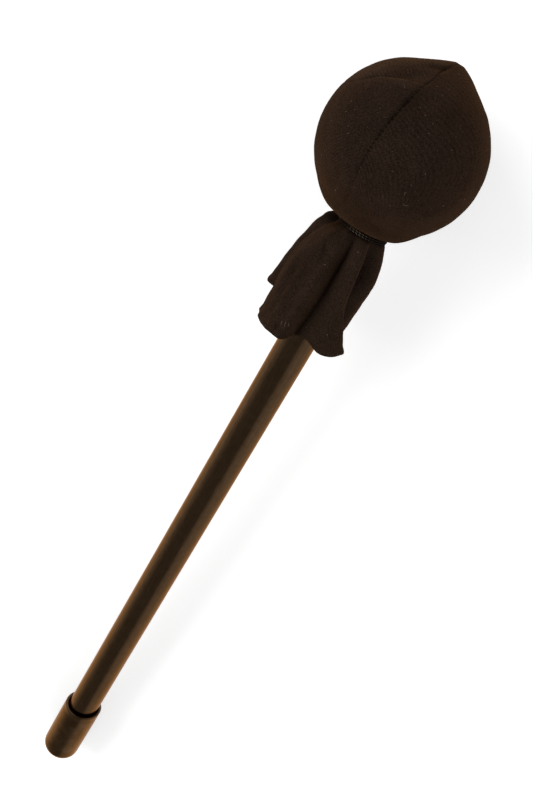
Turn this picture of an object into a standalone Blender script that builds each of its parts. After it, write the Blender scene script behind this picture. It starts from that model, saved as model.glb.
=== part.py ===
"""Soft-headed percussion mallet, lying on a flat surface.

A tube handle carries a padded ball. Three gores of black knit are sewn over the ball, drawn in
round the handle by a wound cord, and left to hang as a pleated skirt. A moulded cap closes the
butt. All sizes are in millimetres and are turned into metres where the meshes are made.
"""
import math
from dataclasses import dataclass

import bmesh
import bpy
import numpy as np
from mathutils import Vector

MM = 0.001
GAP = 0.3                      # clearance between pieces that touch on the real object

# Handle: 13 mm tube
TUBE_DIAMETER = 13.2
TUBE_WALL = 1.6
TUBE_LENGTH = 317.5
TUBE_EDGE_BREAK = 0.3

# Distances along the handle's axis are counted from the middle of the ball, positive to its crown
CAP_END = -316.3
CAP_LENGTH = 32.4
CAP_DIAMETER = 16.4
CAP_END_WALL = 2.2
CAP_CORNER_RADIUS = 3.5
CAP_LIP_RADIUS = 0.5
CAP_INNER_FILLET = 1.0
TUBE_END = CAP_END + CAP_END_WALL + GAP
TUBE_TOP = TUBE_END + TUBE_LENGTH

# Ball: a firm core on the handle, a soft layer round it and the cloth outside
BALL_RADIUS = 27.33            # outside of the cloth
BALL_OFFSET = -2.12            # the soft layer sits to one side of the handle
CORE_RADIUS = 18.0
CLOTH_THICKNESS = 1.2
STUFFING_INSET = 3.0           # from the cloth's outside to the soft layer, clear of the seams
STUFFING_BASE = -20.5          # flat underside of the soft layer, along the axis

# Crown: the point where the three gores meet has been pulled to one side of the axis
CROWN_LEAN = math.radians(36.0)
CROWN_AZIMUTH = math.radians(-12.0)
LEAN_FADES_AT = math.radians(135.0)

# Seams, as azimuths round the axis in degrees: at the crown, at the ball's waist and beside the neck
SEAM_FRONT = (-17.0, -17.0, -32.0)
SEAM_LEFT = (-94.0, -128.0, -105.0)
SEAM_RIGHT = (163.0, 105.0, 98.0)
SEAM_BENDS = np.radians([45.0, 105.0, 122.0, 152.0])
SEAM_GAP = 0.36
SEAM_ROLL = 0.8                # how far a sewn edge turns in
SEAM_ROLL_WIDTH = 1.5

# Relief of the slack cloth at the crown
PEAK_HEIGHT = 3.2              # pinched corner on the right seam, at the far end of the axis
PEAK_ANGLE = math.radians(38.0)
PEAK_SPREAD = math.radians(15.0)
PEAK_REACH_FRONT = 10.0
PEAK_REACH_BACK = 12.0
PEAK_FADE_FRONT = 1.5          # power of the fall from the corner to its reach
PEAK_FADE_BACK = 1.6
PEAK_AT_CROWN = 0.25           # share of the corner's height that its ridge keeps at the crown
DIMPLE_DEPTH = 2.0             # hollow in the back gore beside the crown
DIMPLE_ANGLE = math.radians(10.0)
DIMPLE_SPREAD = math.radians(11.0)
CREST_HEIGHT = 0.8             # puffed edge of the left gore beside the crown
CREST_ANGLE = math.radians(18.0)
CREST_SPREAD = math.radians(12.0)
CREST_FROM_SEAM = 2.4
CREST_WIDTH = 3.5
CHIN_SWELL = 1.3               # the ball is fuller where it turns under to the tie, most at its right
CHIN_UNEVENNESS = 0.4
CHIN_FROM = math.radians(132.0)
CHIN_TO = math.radians(150.0)

# Tie: the cloth is drawn in to a waist and bound
NECK_RADIUS = 8.2
NECK_TOP = -25.0
NECK_SHOULDER = 9.6
NECK_BASE = -29.3
CORD_DIAMETER = 1.1
CORD_PITCH = 1.55
CORD_TOP = -26.0
CORD_TURNS = 2
CORD_LEAVES_AT = math.radians(45.0)   # each end leaves the turns this far from the knot
CORD_POINTS_PER_TURN = 24
CORD_LEAD_BEND = 0.75          # where each end's bend to the knot lies along its tangent
KNOT_AZIMUTH = math.radians(165.0)    # underneath, away from the viewer
KNOT_WIDTH = 4.0
KNOT_DEPTH = 2.6
KNOT_HEIGHT = 4.4
KNOT_WAIST = 0.28              # how much narrower the knot is at its middle
TAIL_LENGTH = 10.0
TAIL_SPREAD = math.radians(16.0)
TAIL_START = math.radians(4.5)
TAIL_CLEARANCE = math.radians(7.0)    # cloth this near to a tail's middle is cleared by it

# Skirt: valleys and ridges of the gathered cloth in turn. Each has its azimuth at the tie, half way
# down and at the hem, then its radius at the stations below, counted down from the neck
FOLD_STATIONS = (0.0, 1.6, 4.0, 11.0, 23.0, 34.0, 45.0)
AZIMUTH_STATIONS = (0.0, 23.0, 40.0)
FOLDS = (
    ("front_seam_valley", (-40, -46, -50), (8.2, 9.6, 12.0, 14.6, 15.9, 15.9, 15.7)),
    ("middle_ridge", (-22, -24, -26), (8.2, 9.8, 11.8, 14.0, 14.9, 15.0, 14.8)),
    ("front_valley", (-4, -2, -8), (8.2, 8.3, 8.7, 9.2, 9.5, 10.0, 10.8)),
    ("front_pleat", (22, 39, 65), (8.2, 9.9, 11.6, 13.5, 13.9, 15.5, 17.4)),
    ("pleat_valley", (36, 52, 80), (8.2, 8.2, 8.5, 8.8, 9.2, 10.0, 11.0)),
    ("right_ridge", (72, 84, 102), (8.2, 9.8, 11.4, 13.3, 12.8, 12.0, 11.8)),
    ("right_seam_valley", (104, 110, 120), (8.2, 8.5, 9.3, 10.2, 10.6, 10.8, 11.2)),
    ("back_right_ridge", (134, 138, 141), (8.2, 9.9, 11.8, 13.8, 14.2, 14.2, 14.2)),
    ("back_valley", (165, 165, 165), (8.2, 8.3, 8.9, 9.7, 10.2, 10.5, 11.0)),
    ("back_ridge", (195, 196, 196), (8.2, 10.0, 12.0, 14.2, 15.0, 15.4, 15.6)),
    ("back_left_valley", (225, 226, 227), (8.2, 8.6, 9.6, 11.0, 12.2, 12.8, 13.2)),
    ("back_left_ridge", (252, 254, 256), (8.2, 14.4, 16.1, 17.7, 20.0, 20.9, 20.8)),
    ("left_seam_valley", (266, 267, 268), (8.2, 10.5, 13.0, 15.2, 17.0, 17.2, 17.0)),
    ("left_ridge", (280, 281, 282), (8.2, 9.6, 12.0, 15.2, 17.1, 17.1, 16.4)),
)


@dataclass(frozen=True)
class Gore:
    """One of the three cut pieces of knit, between two seams and two valleys of the skirt.

    hem_lengths is how far the cloth hangs below the neck at each fold from the first to the last.
    end_turns and fold_turns are the whole turns by which the end seam and the folds run past or
    short of the start seam's own azimuth.
    """

    name: str
    start_seam: tuple
    end_seam: tuple
    first_fold: int
    last_fold: int
    hem_lengths: tuple
    columns: int
    end_turns: int = 0
    fold_turns: int = 0


HEM_RIGHT = (42.0, 41.9, 39.2, 39.0, 38.4, 37.6, 37.5)
HEM_BACK = (37.5, 38.0, 38.0, 37.0, 34.5, 31.3, 31.0)
HEM_LEFT = (42.6, 42.6, 42.0)

GORES = (
    Gore("cover_panel_right", SEAM_FRONT, SEAM_RIGHT, 0, 6, HEM_RIGHT, 18),
    Gore("cover_panel_back", SEAM_RIGHT, SEAM_LEFT, 6, 12, HEM_BACK, 18, end_turns=1),
    Gore("cover_panel_left", SEAM_LEFT, SEAM_FRONT, 12, 14, HEM_LEFT, 10, fold_turns=-1),
)

# How finely the cloth is divided
CROWN_ROWS = np.radians([1.6, 4.5, 9, 15, 22, 29, 36, 43, 52, 63, 76, 90, 105, 119, 132, 142, 150])
UNDERSIDE_ROWS = np.array([0.4, 0.75, 1.0])
SKIRT_ROWS = np.array([0.0, 0.03, 0.08, 0.16, 0.28, 0.42, 0.57, 0.72, 0.86, 1.0])
EDGE_CROWDING = 0.85           # how closely columns crowd to a gore's edges, from 0 to 1
ROUND_STEPS = 40

# Pose: the ball and the cap's rim rest on the surface, which is z = 0
REST_DEPTH = 0.5               # the ball is pressed flat this deep where it rests
BALL_HEIGHT = BALL_RADIUS - REST_DEPTH


def lying_tilt() -> float:
    """Angle of the handle's axis to the surface when the cap's rounded corner just touches it."""
    tilt = 0.0
    to_corner = -CAP_END - CAP_CORNER_RADIUS
    for _ in range(20):
        drop = BALL_HEIGHT - CAP_CORNER_RADIUS - (CAP_DIAMETER / 2 - CAP_CORNER_RADIUS) * math.cos(tilt)
        tilt = math.asin(drop / to_corner)
    return tilt


def smooth(low: float, high: float, value):
    """Ease from 0 at low to 1 at high with level ends."""
    step = np.clip((value - low) / (high - low), 0.0, 1.0)
    return step * step * (3.0 - 2.0 * step)


def bell(value, centre: float, width: float):
    """Bell curve of height 1."""
    return np.exp(-(((value - centre) / width) ** 2))


def make_material(name: str, colour, roughness: float, metallic: float = 0.0):
    """Plain Principled material with one colour."""
    material = bpy.data.materials.new(name)
    material.use_nodes = True
    shader = material.node_tree.nodes["Principled BSDF"]
    shader.inputs["Base Color"].default_value = (*colour, 1.0)
    shader.inputs["Roughness"].default_value = roughness
    shader.inputs["Metallic"].default_value = metallic
    material.diffuse_color = (*colour, 1.0)
    return material


def add_object(name: str, data, collection, parent, material=None):
    """Link new data as a named object in the mallet's frame."""
    piece = bpy.data.objects.new(name, data)
    collection.objects.link(piece)
    piece.parent = parent
    if material is not None:
        data.materials.append(material)
    return piece


def arc(centre_x: float, centre_z: float, radius: float, start: float, end: float, steps: int):
    """Points on an arc in a turned profile, angles in degrees from +X."""
    return [
        (centre_x + radius * math.cos(math.radians(a)), centre_z + radius * math.sin(math.radians(a)))
        for a in np.linspace(start, end, steps + 1)
    ]


def turned_piece(name: str, profile, closed: bool, collection, parent, material):
    """Turn a profile of (radius, height) points round the handle's axis with a Screw modifier."""
    mesh = bpy.data.meshes.new(name)
    points = [(x * MM, 0.0, z * MM) for x, z in profile]
    edges = [(i, i + 1) for i in range(len(points) - 1)]
    if closed:
        edges.append((len(points) - 1, 0))
    mesh.from_pydata(points, edges, [])
    piece = add_object(name, mesh, collection, parent, material)
    screw = piece.modifiers.new("turn", "SCREW")
    screw.axis = "Z"
    screw.steps = ROUND_STEPS
    screw.render_steps = ROUND_STEPS
    screw.use_merge_vertices = True
    screw.merge_threshold = 0.00005
    screw.use_smooth_shade = True
    return piece


def build_handle_tube(collection, parent):
    """Straight tube with the burr taken off both ends."""
    outer = TUBE_DIAMETER / 2
    inner = outer - TUBE_WALL
    chamfer = TUBE_EDGE_BREAK
    profile = [
        (inner, TUBE_TOP - chamfer),
        (inner + chamfer, TUBE_TOP),
        (outer - chamfer, TUBE_TOP),
        (outer, TUBE_TOP - chamfer),
        (outer, TUBE_END + chamfer),
        (outer - chamfer, TUBE_END),
        (inner + chamfer, TUBE_END),
        (inner, TUBE_END + chamfer),
    ]
    gloss = make_material("gloss_black_lacquer", (0.022, 0.014, 0.009), 0.22)
    return turned_piece("handle_tube", profile, True, collection, parent, gloss)


def build_end_cap(collection, parent):
    """Push-on moulded cap: plain wall, rounded lip at the mouth and a well rounded closed end."""
    outer = CAP_DIAMETER / 2
    inner = TUBE_DIAMETER / 2 + GAP
    mouth = CAP_END + CAP_LENGTH
    floor = CAP_END + CAP_END_WALL
    lip = CAP_LIP_RADIUS
    corner = CAP_CORNER_RADIUS
    fillet = CAP_INNER_FILLET
    profile = [(0.0, floor)]
    profile += arc(inner - fillet, floor + fillet, fillet, -90, 0, 3)
    profile += arc(inner + lip, mouth - lip, lip, 180, 90, 3)
    profile += arc(outer - lip, mouth - lip, lip, 90, 0, 3)
    profile += arc(outer - corner, CAP_END + corner, corner, 0, -90, 7)
    profile += [(0.0, CAP_END)]
    vinyl = make_material("black_vinyl", (0.022, 0.015, 0.010), 0.30)
    return turned_piece("end_cap", profile, False, collection, parent, vinyl)


def ball_direction(theta, phi):
    """Unit vectors on the ball. Rings of angle theta round a centre that leans towards the crown.

    The ring's centre leans by CROWN_LEAN at theta 0 and stands back on the axis by LEAN_FADES_AT,
    so that lines of constant phi run from the off-centre crown to the centred neck.
    """
    lean = CROWN_LEAN * (1.0 - smooth(0.0, LEAN_FADES_AT, theta))
    x = np.sin(theta) * np.cos(phi - CROWN_AZIMUTH)
    y = np.sin(theta) * np.sin(phi - CROWN_AZIMUTH)
    z = np.cos(theta) * np.ones_like(phi)
    leaned_x = x * np.cos(lean) + z * np.sin(lean)
    leaned_z = z * np.cos(lean) - x * np.sin(lean)
    turn_c, turn_s = math.cos(CROWN_AZIMUTH), math.sin(CROWN_AZIMUTH)
    return np.stack([leaned_x * turn_c - y * turn_s, leaned_x * turn_s + y * turn_c, leaned_z], axis=-1)


def seam_azimuth(seam, theta):
    """Azimuth of a seam on the ball, easing from its crown value to its waist and neck values."""
    crown, waist, neck = (math.radians(value) for value in seam)
    to_waist = (waist - crown) * smooth(SEAM_BENDS[0], SEAM_BENDS[1], theta)
    to_neck = (neck - waist) * smooth(SEAM_BENDS[2], SEAM_BENDS[3], theta)
    return crown + to_waist + to_neck


def slack_relief(theta, phi):
    """Height of the slack cloth over the sphere, without the turned-in seam edges.

    Right of the right seam lies the front gore and left of it the back gore. Both rise to the
    pinched corner, the front gore in a broad shoulder and the back one steeply. The back gore
    also has a dimple beside the crown, and the left gore a puffed edge on its side of the seam.
    """
    right = seam_azimuth(SEAM_RIGHT, theta)
    left = seam_azimuth(SEAM_LEFT, theta)
    across = BALL_RADIUS * np.sin(theta)
    near_crown = bell(theta, DIMPLE_ANGLE, DIMPLE_SPREAD)
    along = bell(theta, PEAK_ANGLE, PEAK_SPREAD) + PEAK_AT_CROWN * near_crown
    from_right = across * (right - phi)
    front_reach = np.clip(from_right / PEAK_REACH_FRONT, 0.0, 1.0)
    back_reach = np.clip(-from_right / PEAK_REACH_BACK, 0.0, 1.0)
    on_front = (1.0 - front_reach ** 2) ** PEAK_FADE_FRONT
    on_back = (1.0 - back_reach) ** PEAK_FADE_BACK
    peak = PEAK_HEIGHT * along * np.where(from_right >= 0.0, on_front, on_back)
    back_width = left + 2 * math.pi - right
    share = np.clip((phi - right) / back_width, 0.0, 1.0)
    on_back_gore = (phi > right) & (phi < right + back_width)
    dimple = DIMPLE_DEPTH * near_crown * (1.0 + np.sin(math.pi * share)) / 2
    from_left = across * (phi - left)
    crest = CREST_HEIGHT * bell(theta, CREST_ANGLE, CREST_SPREAD)
    crest = crest * bell(from_left, CREST_FROM_SEAM, CREST_WIDTH)
    swelling = 1.0 - CHIN_UNEVENNESS * (1.0 - np.sin(phi))
    chin = CHIN_SWELL * smooth(CHIN_FROM, CHIN_TO, theta) * swelling
    return peak + chin + np.where(on_back_gore, -dimple, crest)


def ball_point(theta, phi, radius):
    """Point on the ball, in the mallet's frame."""
    return ball_direction(theta, phi) * radius[..., None] + np.array([0.0, BALL_OFFSET, 0.0])


def fold_line(index: int, depth):
    """Azimuth and radius of one valley or ridge at a depth below the neck."""
    _, azimuths, radii = FOLDS[index % len(FOLDS)]
    wrapped = 2 * math.pi * (index // len(FOLDS))
    azimuth = np.radians(np.interp(depth, AZIMUTH_STATIONS, azimuths)) + wrapped
    return azimuth, np.interp(depth, FOLD_STATIONS, radii)


def skirt_place(phase, depth):
    """Azimuth and radius of the cloth at a fold phase and a depth below the neck.

    Phase counts folds round the handle, even at a valley and odd at a ridge. From a valley to a
    ridge the radius rises as a quarter sine, which leaves valleys sharp and ridges round.
    """
    azimuth = np.zeros_like(phase)
    radius = np.zeros_like(phase)
    for index in range(len(FOLDS)):
        share = phase - index
        inside = (share >= 0.0) & (share <= 1.0)
        from_azimuth, from_radius = fold_line(index, depth)
        to_azimuth, to_radius = fold_line(index + 1, depth)
        rise = np.sin(share * math.pi / 2) if index % 2 == 0 else 1.0 - np.cos(share * math.pi / 2)
        azimuth = np.where(inside, from_azimuth + (to_azimuth - from_azimuth) * share, azimuth)
        radius = np.where(inside, from_radius + (to_radius - from_radius) * rise, radius)
    return azimuth, radius


def ring_point(radius, phi, height):
    """Point at a radius and azimuth round the handle."""
    return np.stack([radius * np.cos(phi), radius * np.sin(phi), height * np.ones_like(phi)], axis=-1)


def gore_surface(gore: Gore):
    """Grid of the outside of one gore, from the crown over the ball, round the neck and to the hem."""
    even = np.linspace(0.0, 1.0, gore.columns + 1)
    crowded = even + EDGE_CROWDING * (0.5 - 0.5 * np.cos(math.pi * even) - even)
    share, theta = np.meshgrid(crowded, CROWN_ROWS)
    start = seam_azimuth(gore.start_seam, theta)
    end = seam_azimuth(gore.end_seam, theta) + 2 * math.pi * gore.end_turns
    across = BALL_RADIUS * np.sin(theta)
    inset = SEAM_GAP / 2 / across
    phi = start + inset + (end - start - 2 * inset) * share
    to_edge = np.minimum(phi - start, end - phi) * across
    roll = SEAM_ROLL * np.exp(-((to_edge / SEAM_ROLL_WIDTH) ** 2))
    ball = ball_point(theta, phi, BALL_RADIUS + slack_relief(theta, phi) - roll)

    tie_inset = SEAM_GAP / 2 / NECK_RADIUS
    inward = tie_inset * (1.0 - 2.0 * even)
    phase = gore.first_fold + (gore.last_fold - gore.first_fold) * even
    tie_phi = skirt_place(phase, 0.0)[0] + 2 * math.pi * gore.fold_turns + inward
    shoulder = ring_point(NECK_SHOULDER, tie_phi, NECK_TOP)
    neck = ring_point(NECK_RADIUS, tie_phi, NECK_TOP)
    step = UNDERSIDE_ROWS[:, None, None]
    underside = (1 - step) ** 2 * ball[-1] + 2 * step * (1 - step) * shoulder + step ** 2 * neck

    lengths = np.interp(phase, range(gore.first_fold, gore.last_fold + 1), gore.hem_lengths)
    rows = []
    for row in SKIRT_ROWS:
        depth = row * lengths
        azimuth, radius = skirt_place(phase, depth)
        rows.append(ring_point(radius, azimuth + inward, NECK_BASE - depth))
    return np.concatenate([ball, underside, np.array(rows)], axis=0)


def grid_faces(rows: int, columns: int):
    """Quads of a grid whose rows run down the piece and whose columns run anticlockwise."""
    return [
        (r * columns + c, (r + 1) * columns + c, (r + 1) * columns + c + 1, r * columns + c + 1)
        for r in range(rows - 1)
        for c in range(columns - 1)
    ]


def cut_by(piece, cutter, name: str) -> None:
    """Cut a piece with a guide object."""
    cut = piece.modifiers.new(name, "BOOLEAN")
    cut.operation = "DIFFERENCE"
    cut.object = cutter


def build_cover_panel(gore: Gore, collection, parent, material, surface):
    """One gore of knit, cut flat where the ball rests on the surface."""
    grid = gore_surface(gore)
    rows, columns = grid.shape[:2]
    mesh = bpy.data.meshes.new(gore.name)
    mesh.from_pydata((grid.reshape(-1, 3) * MM).tolist(), [], grid_faces(rows, columns))
    panel = add_object(gore.name, mesh, collection, parent, material)
    mesh.shade_smooth()
    thickness = panel.modifiers.new("cloth", "SOLIDIFY")
    thickness.thickness = CLOTH_THICKNESS * MM
    thickness.offset = -1.0
    cut_by(panel, surface, "rest_flat")
    return panel


def add_ball(name: str, radius: float, collection, parent, material=None):
    """Sphere primitive on the handle's axis."""
    mesh = bpy.data.meshes.new(name)
    shape = bmesh.new()
    bmesh.ops.create_uvsphere(shape, u_segments=28, v_segments=16, radius=radius * MM)
    shape.to_mesh(mesh)
    shape.free()
    mesh.shade_smooth()
    return add_object(name, mesh, collection, parent, material)


def add_bore_guide(name: str, low: float, high: float, collection, parent):
    """Cylinder of the handle's clearance hole, used only for cutting."""
    mesh = bpy.data.meshes.new(name)
    shape = bmesh.new()
    radius = (TUBE_DIAMETER / 2 + GAP) * MM
    bmesh.ops.create_cone(
        shape, cap_ends=True, segments=ROUND_STEPS, radius1=radius, radius2=radius, depth=(high - low) * MM
    )
    bmesh.ops.translate(shape, verts=shape.verts, vec=(0.0, 0.0, (high + low) / 2 * MM))
    shape.to_mesh(mesh)
    shape.free()
    return add_object(name, mesh, collection, parent)


def build_core_ball(collection, guides, parent):
    """Firm ball with a blind hole for the handle."""
    rubber = make_material("core_rubber", (0.10, 0.08, 0.06), 0.7)
    core = add_ball("core_ball", CORE_RADIUS, collection, parent, rubber)
    bore = add_bore_guide("core_bore", -2 * CORE_RADIUS, TUBE_TOP + GAP, guides, parent)
    cut_by(core, bore, "handle_hole")
    return core


def build_padding(collection, guides, parent, surface):
    """Soft layer between the core and the cloth, with the ball's own slack form."""
    columns = 30
    phi_line = np.linspace(0.0, 2 * math.pi, columns, endpoint=False)
    theta_line = np.radians([10, 20, 31, 43, 56, 70, 85, 100, 115, 130, 142])
    phi, theta = np.meshgrid(phi_line, theta_line)
    relief = np.minimum(slack_relief(theta, phi), 0.0)
    rings = ball_point(theta, phi, BALL_RADIUS - STUFFING_INSET + relief)
    top = ball_point(np.zeros(1), np.zeros(1), np.array([BALL_RADIUS - STUFFING_INSET - DIMPLE_DEPTH]))[0]
    count = rings.shape[0] * columns
    vertices = (rings.reshape(-1, 3) * MM).tolist()
    vertices.append((top * MM).tolist())
    vertices.append((0.0, BALL_OFFSET * MM, STUFFING_BASE * MM))
    faces = []
    for c in range(columns):
        following = (c + 1) % columns
        faces.append((count, c, following))
        for r in range(rings.shape[0] - 1):
            here, below = r * columns, (r + 1) * columns
            faces.append((here + c, below + c, below + following, here + following))
        last = (rings.shape[0] - 1) * columns
        faces.append((last + following, last + c, count + 1))
    mesh = bpy.data.meshes.new("padding")
    mesh.from_pydata(vertices, [], faces)
    mesh.shade_smooth()
    felt = make_material("padding_felt", (0.55, 0.50, 0.42), 0.95)
    padding = add_object("padding", mesh, collection, parent, felt)
    hollow = add_ball("core_space", CORE_RADIUS + GAP, guides, parent)
    bore = add_bore_guide("padding_bore", -2 * BALL_RADIUS, 0.0, guides, parent)
    cut_by(padding, hollow, "core_space")
    cut_by(padding, bore, "handle_hole")
    cut_by(padding, surface, "rest_flat")
    return padding


def cord_route():
    """Centre line of the wound cord: level turns down the neck, both ends running out to the knot.

    The turns are a helix of radius NECK_RADIUS plus half the cord and the gap. Each end leaves
    the helix on its tangent and bends to run square into the side of the knot.
    """
    coil_radius = NECK_RADIUS + GAP + CORD_DIAMETER / 2
    sweep = CORD_TURNS * 2 * math.pi - 2 * CORD_LEAVES_AT
    steps = round(CORD_POINTS_PER_TURN * sweep / (2 * math.pi))
    angle = np.linspace(0.0, sweep, steps + 1)
    azimuth = KNOT_AZIMUTH + CORD_LEAVES_AT + angle
    height = CORD_TOP - CORD_PITCH * angle / (2 * math.pi)
    turns = ring_point(coil_radius, azimuth, height)
    outward = np.array([math.cos(KNOT_AZIMUTH), math.sin(KNOT_AZIMUTH), 0.0])
    sideways = np.array([-math.sin(KNOT_AZIMUTH), math.cos(KNOT_AZIMUTH), 0.0])
    knot_reach = coil_radius + CORD_DIAMETER / 2 + GAP + KNOT_DEPTH / 2
    side = KNOT_WIDTH / 2 + GAP

    def lead(first, side_sign, level):
        """Bend from a turn's end to the knot's side, then straight for one diameter."""
        stop = outward * knot_reach + sideways * side_sign * side
        stop[2] = level
        straight = stop + sideways * side_sign * CORD_DIAMETER
        tangent = (outward - sideways * side_sign) / math.sqrt(2)
        along = float(np.dot(straight - first, tangent))
        corner = first + tangent * along * CORD_LEAD_BEND
        corner[2] = level
        share = np.array([0.25, 0.5, 0.75, 1.0])[:, None]
        curve = (1 - share) ** 2 * first + 2 * share * (1 - share) * corner + share ** 2 * straight
        return np.vstack([curve, stop[None, :]])

    entering = lead(turns[0], 1.0, turns[0][2])
    leaving = lead(turns[-1], -1.0, turns[-1][2])
    return np.vstack([entering[::-1], turns, leaving])


def least_self_gap(route) -> float:
    """Least clear distance between parts of the cord that are more than half a turn apart."""
    distance = np.linalg.norm(route[:, None] - route[None, :], axis=2)
    order = np.abs(np.arange(len(route))[:, None] - np.arange(len(route))[None, :])
    apart = order > CORD_POINTS_PER_TURN // 2
    return float(distance[apart].min() - CORD_DIAMETER)


def add_cord_curve(name: str, route, collection, parent, material):
    """Round cord along a route of points, with closed ends."""
    curve = bpy.data.curves.new(name, "CURVE")
    curve.dimensions = "3D"
    curve.bevel_depth = CORD_DIAMETER / 2 * MM
    curve.bevel_resolution = 1
    curve.use_fill_caps = True
    spline = curve.splines.new("POLY")
    spline.points.add(len(route) - 1)
    for point, place in zip(spline.points, route):
        point.co = (*(np.asarray(place) * MM), 1.0)
    return add_object(name, curve, collection, parent, material)


def build_tie(collection, parent):
    """Wound cord, its knot underneath and the two cut tails."""
    thread = make_material("black_cord", (0.020, 0.014, 0.010), 0.8)
    route = cord_route()
    print(f"tie_cord least gap between turns {least_self_gap(route):.2f} mm")
    add_cord_curve("tie_cord", route, collection, parent, thread)

    coil_radius = NECK_RADIUS + GAP + CORD_DIAMETER / 2
    reach = coil_radius + CORD_DIAMETER / 2 + GAP + KNOT_DEPTH / 2
    level = CORD_TOP - CORD_PITCH * CORD_TURNS / 2
    mesh = bpy.data.meshes.new("tie_knot")
    shape = bmesh.new()
    bmesh.ops.create_cube(shape, size=1.0)
    bmesh.ops.subdivide_edges(shape, edges=shape.edges, cuts=2, use_grid_fill=True)
    for vertex in shape.verts:
        x, y, z = vertex.co
        waist = 1.0 - KNOT_WAIST * bell(z, 0.0, 0.2)
        vertex.co = Vector((x * KNOT_DEPTH * waist, y * KNOT_WIDTH * waist, z * KNOT_HEIGHT)) * MM
    shape.to_mesh(mesh)
    shape.free()
    knot = add_object("tie_knot", mesh, collection, parent, thread)
    knot.location = Vector((math.cos(KNOT_AZIMUTH) * reach, math.sin(KNOT_AZIMUTH) * reach, level)) * MM
    knot.rotation_euler = (0.0, 0.0, KNOT_AZIMUTH)
    rounding = knot.modifiers.new("rounded", "SUBSURF")
    rounding.levels = 1
    rounding.render_levels = 1
    mesh.shade_smooth()

    for sign, name in ((1.0, "tail_right"), (-1.0, "tail_left")):
        add_cord_curve(name, tail_route(sign, reach, level), collection, parent, thread)


def tail_route(sign: float, reach: float, level: float):
    """Centre line of one cut tail, from the underside of the knot over the cloth of the skirt."""
    share = np.linspace(0.0, 1.0, 8)
    azimuth = KNOT_AZIMUTH + sign * (TAIL_START + TAIL_SPREAD * share ** 2)
    top = level - KNOT_HEIGHT / 2 - GAP
    height = top - TAIL_LENGTH * share
    depth = np.maximum(NECK_BASE - height, 0.0)
    phases = np.linspace(7.0, 9.0, 41)
    over_cloth = np.full_like(share, NECK_RADIUS)
    for index, level_depth in enumerate(depth):
        folds, radii = skirt_place(phases, level_depth)
        close = np.abs(folds - azimuth[index]) < TAIL_CLEARANCE
        over_cloth[index] = radii[close].max() + CORD_DIAMETER / 2 + 2 * GAP
    return ring_point(np.maximum(over_cloth, reach), azimuth, height)


def build_surface_guide(guides):
    """Block under the surface that the mallet lies on, which presses the ball's flat."""
    mesh = bpy.data.meshes.new("surface_plane")
    shape = bmesh.new()
    bmesh.ops.create_cube(shape, size=0.08)
    bmesh.ops.translate(shape, verts=shape.verts, vec=(0.0, 0.0, -0.04))
    shape.to_mesh(mesh)
    shape.free()
    return add_object("surface_plane", mesh, guides, None)


def main() -> None:
    """Build the mallet."""
    for old in list(bpy.data.objects):
        bpy.data.objects.remove(old, do_unlink=True)
    collection = bpy.data.collections.new("percussion_mallet")
    guides = bpy.data.collections.new("cutting_guides")
    for group in (collection, guides):
        bpy.context.scene.collection.children.link(group)

    # The empty's local Z runs up the handle to the ball's crown and its local X faces up
    axis = bpy.data.objects.new("mallet_axis", None)
    collection.objects.link(axis)
    axis.location = (0.0, BALL_OFFSET * MM, BALL_HEIGHT * MM)
    axis.rotation_euler = (math.pi, -(math.pi / 2 + lying_tilt()), 0.0)

    surface = build_surface_guide(guides)
    build_handle_tube(collection, axis)
    build_end_cap(collection, axis)
    build_core_ball(collection, guides, axis)
    build_padding(collection, guides, axis, surface)
    knit = make_material("black_knit", (0.024, 0.016, 0.011), 0.92)
    for gore in GORES:
        build_cover_panel(gore, collection, axis, knit, surface)
    build_tie(collection, axis)
    for guide in guides.objects:
        guide.hide_render = True
        guide.display_type = "WIRE"
    bpy.context.view_layer.update()


main()
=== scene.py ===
"""Looks of a soft-headed percussion mallet that lies on a pale surface.

Lengths inside the classes are in millimetres, in the mallet's own frame: the handle's axis is Z,
positive to the crown of the ball, X faces up to the viewer and Y is to the right of the picture.
Azimuths turn from X to Y. MalletFrame turns such points into metres in the frame of the model.
"""
from __future__ import annotations

import logging
import math
from dataclasses import dataclass, field
from enum import Enum
from math import radians

import bpy
import numpy as np
from mathutils import Euler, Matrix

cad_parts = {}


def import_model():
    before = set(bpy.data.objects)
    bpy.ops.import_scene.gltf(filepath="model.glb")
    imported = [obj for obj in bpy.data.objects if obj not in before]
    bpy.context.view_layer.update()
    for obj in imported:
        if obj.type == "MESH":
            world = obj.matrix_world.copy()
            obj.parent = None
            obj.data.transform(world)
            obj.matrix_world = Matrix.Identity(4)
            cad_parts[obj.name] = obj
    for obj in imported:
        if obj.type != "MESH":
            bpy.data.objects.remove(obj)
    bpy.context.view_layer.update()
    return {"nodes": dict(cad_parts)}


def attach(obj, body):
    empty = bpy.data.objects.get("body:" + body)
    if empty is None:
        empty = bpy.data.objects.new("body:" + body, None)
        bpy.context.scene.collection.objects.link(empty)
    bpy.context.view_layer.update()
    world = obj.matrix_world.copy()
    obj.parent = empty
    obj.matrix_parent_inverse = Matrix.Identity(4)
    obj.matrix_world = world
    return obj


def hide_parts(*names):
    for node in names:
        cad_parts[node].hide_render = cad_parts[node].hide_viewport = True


LOG = logging.getLogger("percussion_mallet")
MM = 0.001
TURN = 2 * math.pi
BODY = "root"
WHITE = (1.0, 1.0, 1.0)

Array = np.ndarray
Piece = bpy.types.Object
Material = bpy.types.Material
Socket = bpy.types.NodeSocket


class Slot(Enum):
    """Material slots of the record."""

    TUBE = "lacquered_tube"
    CAP = "vinyl_cap"
    CORE = "core"
    PADDING = "felt_padding"
    COVER = "knit_cover"
    TIE = "tie_cord"


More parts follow.
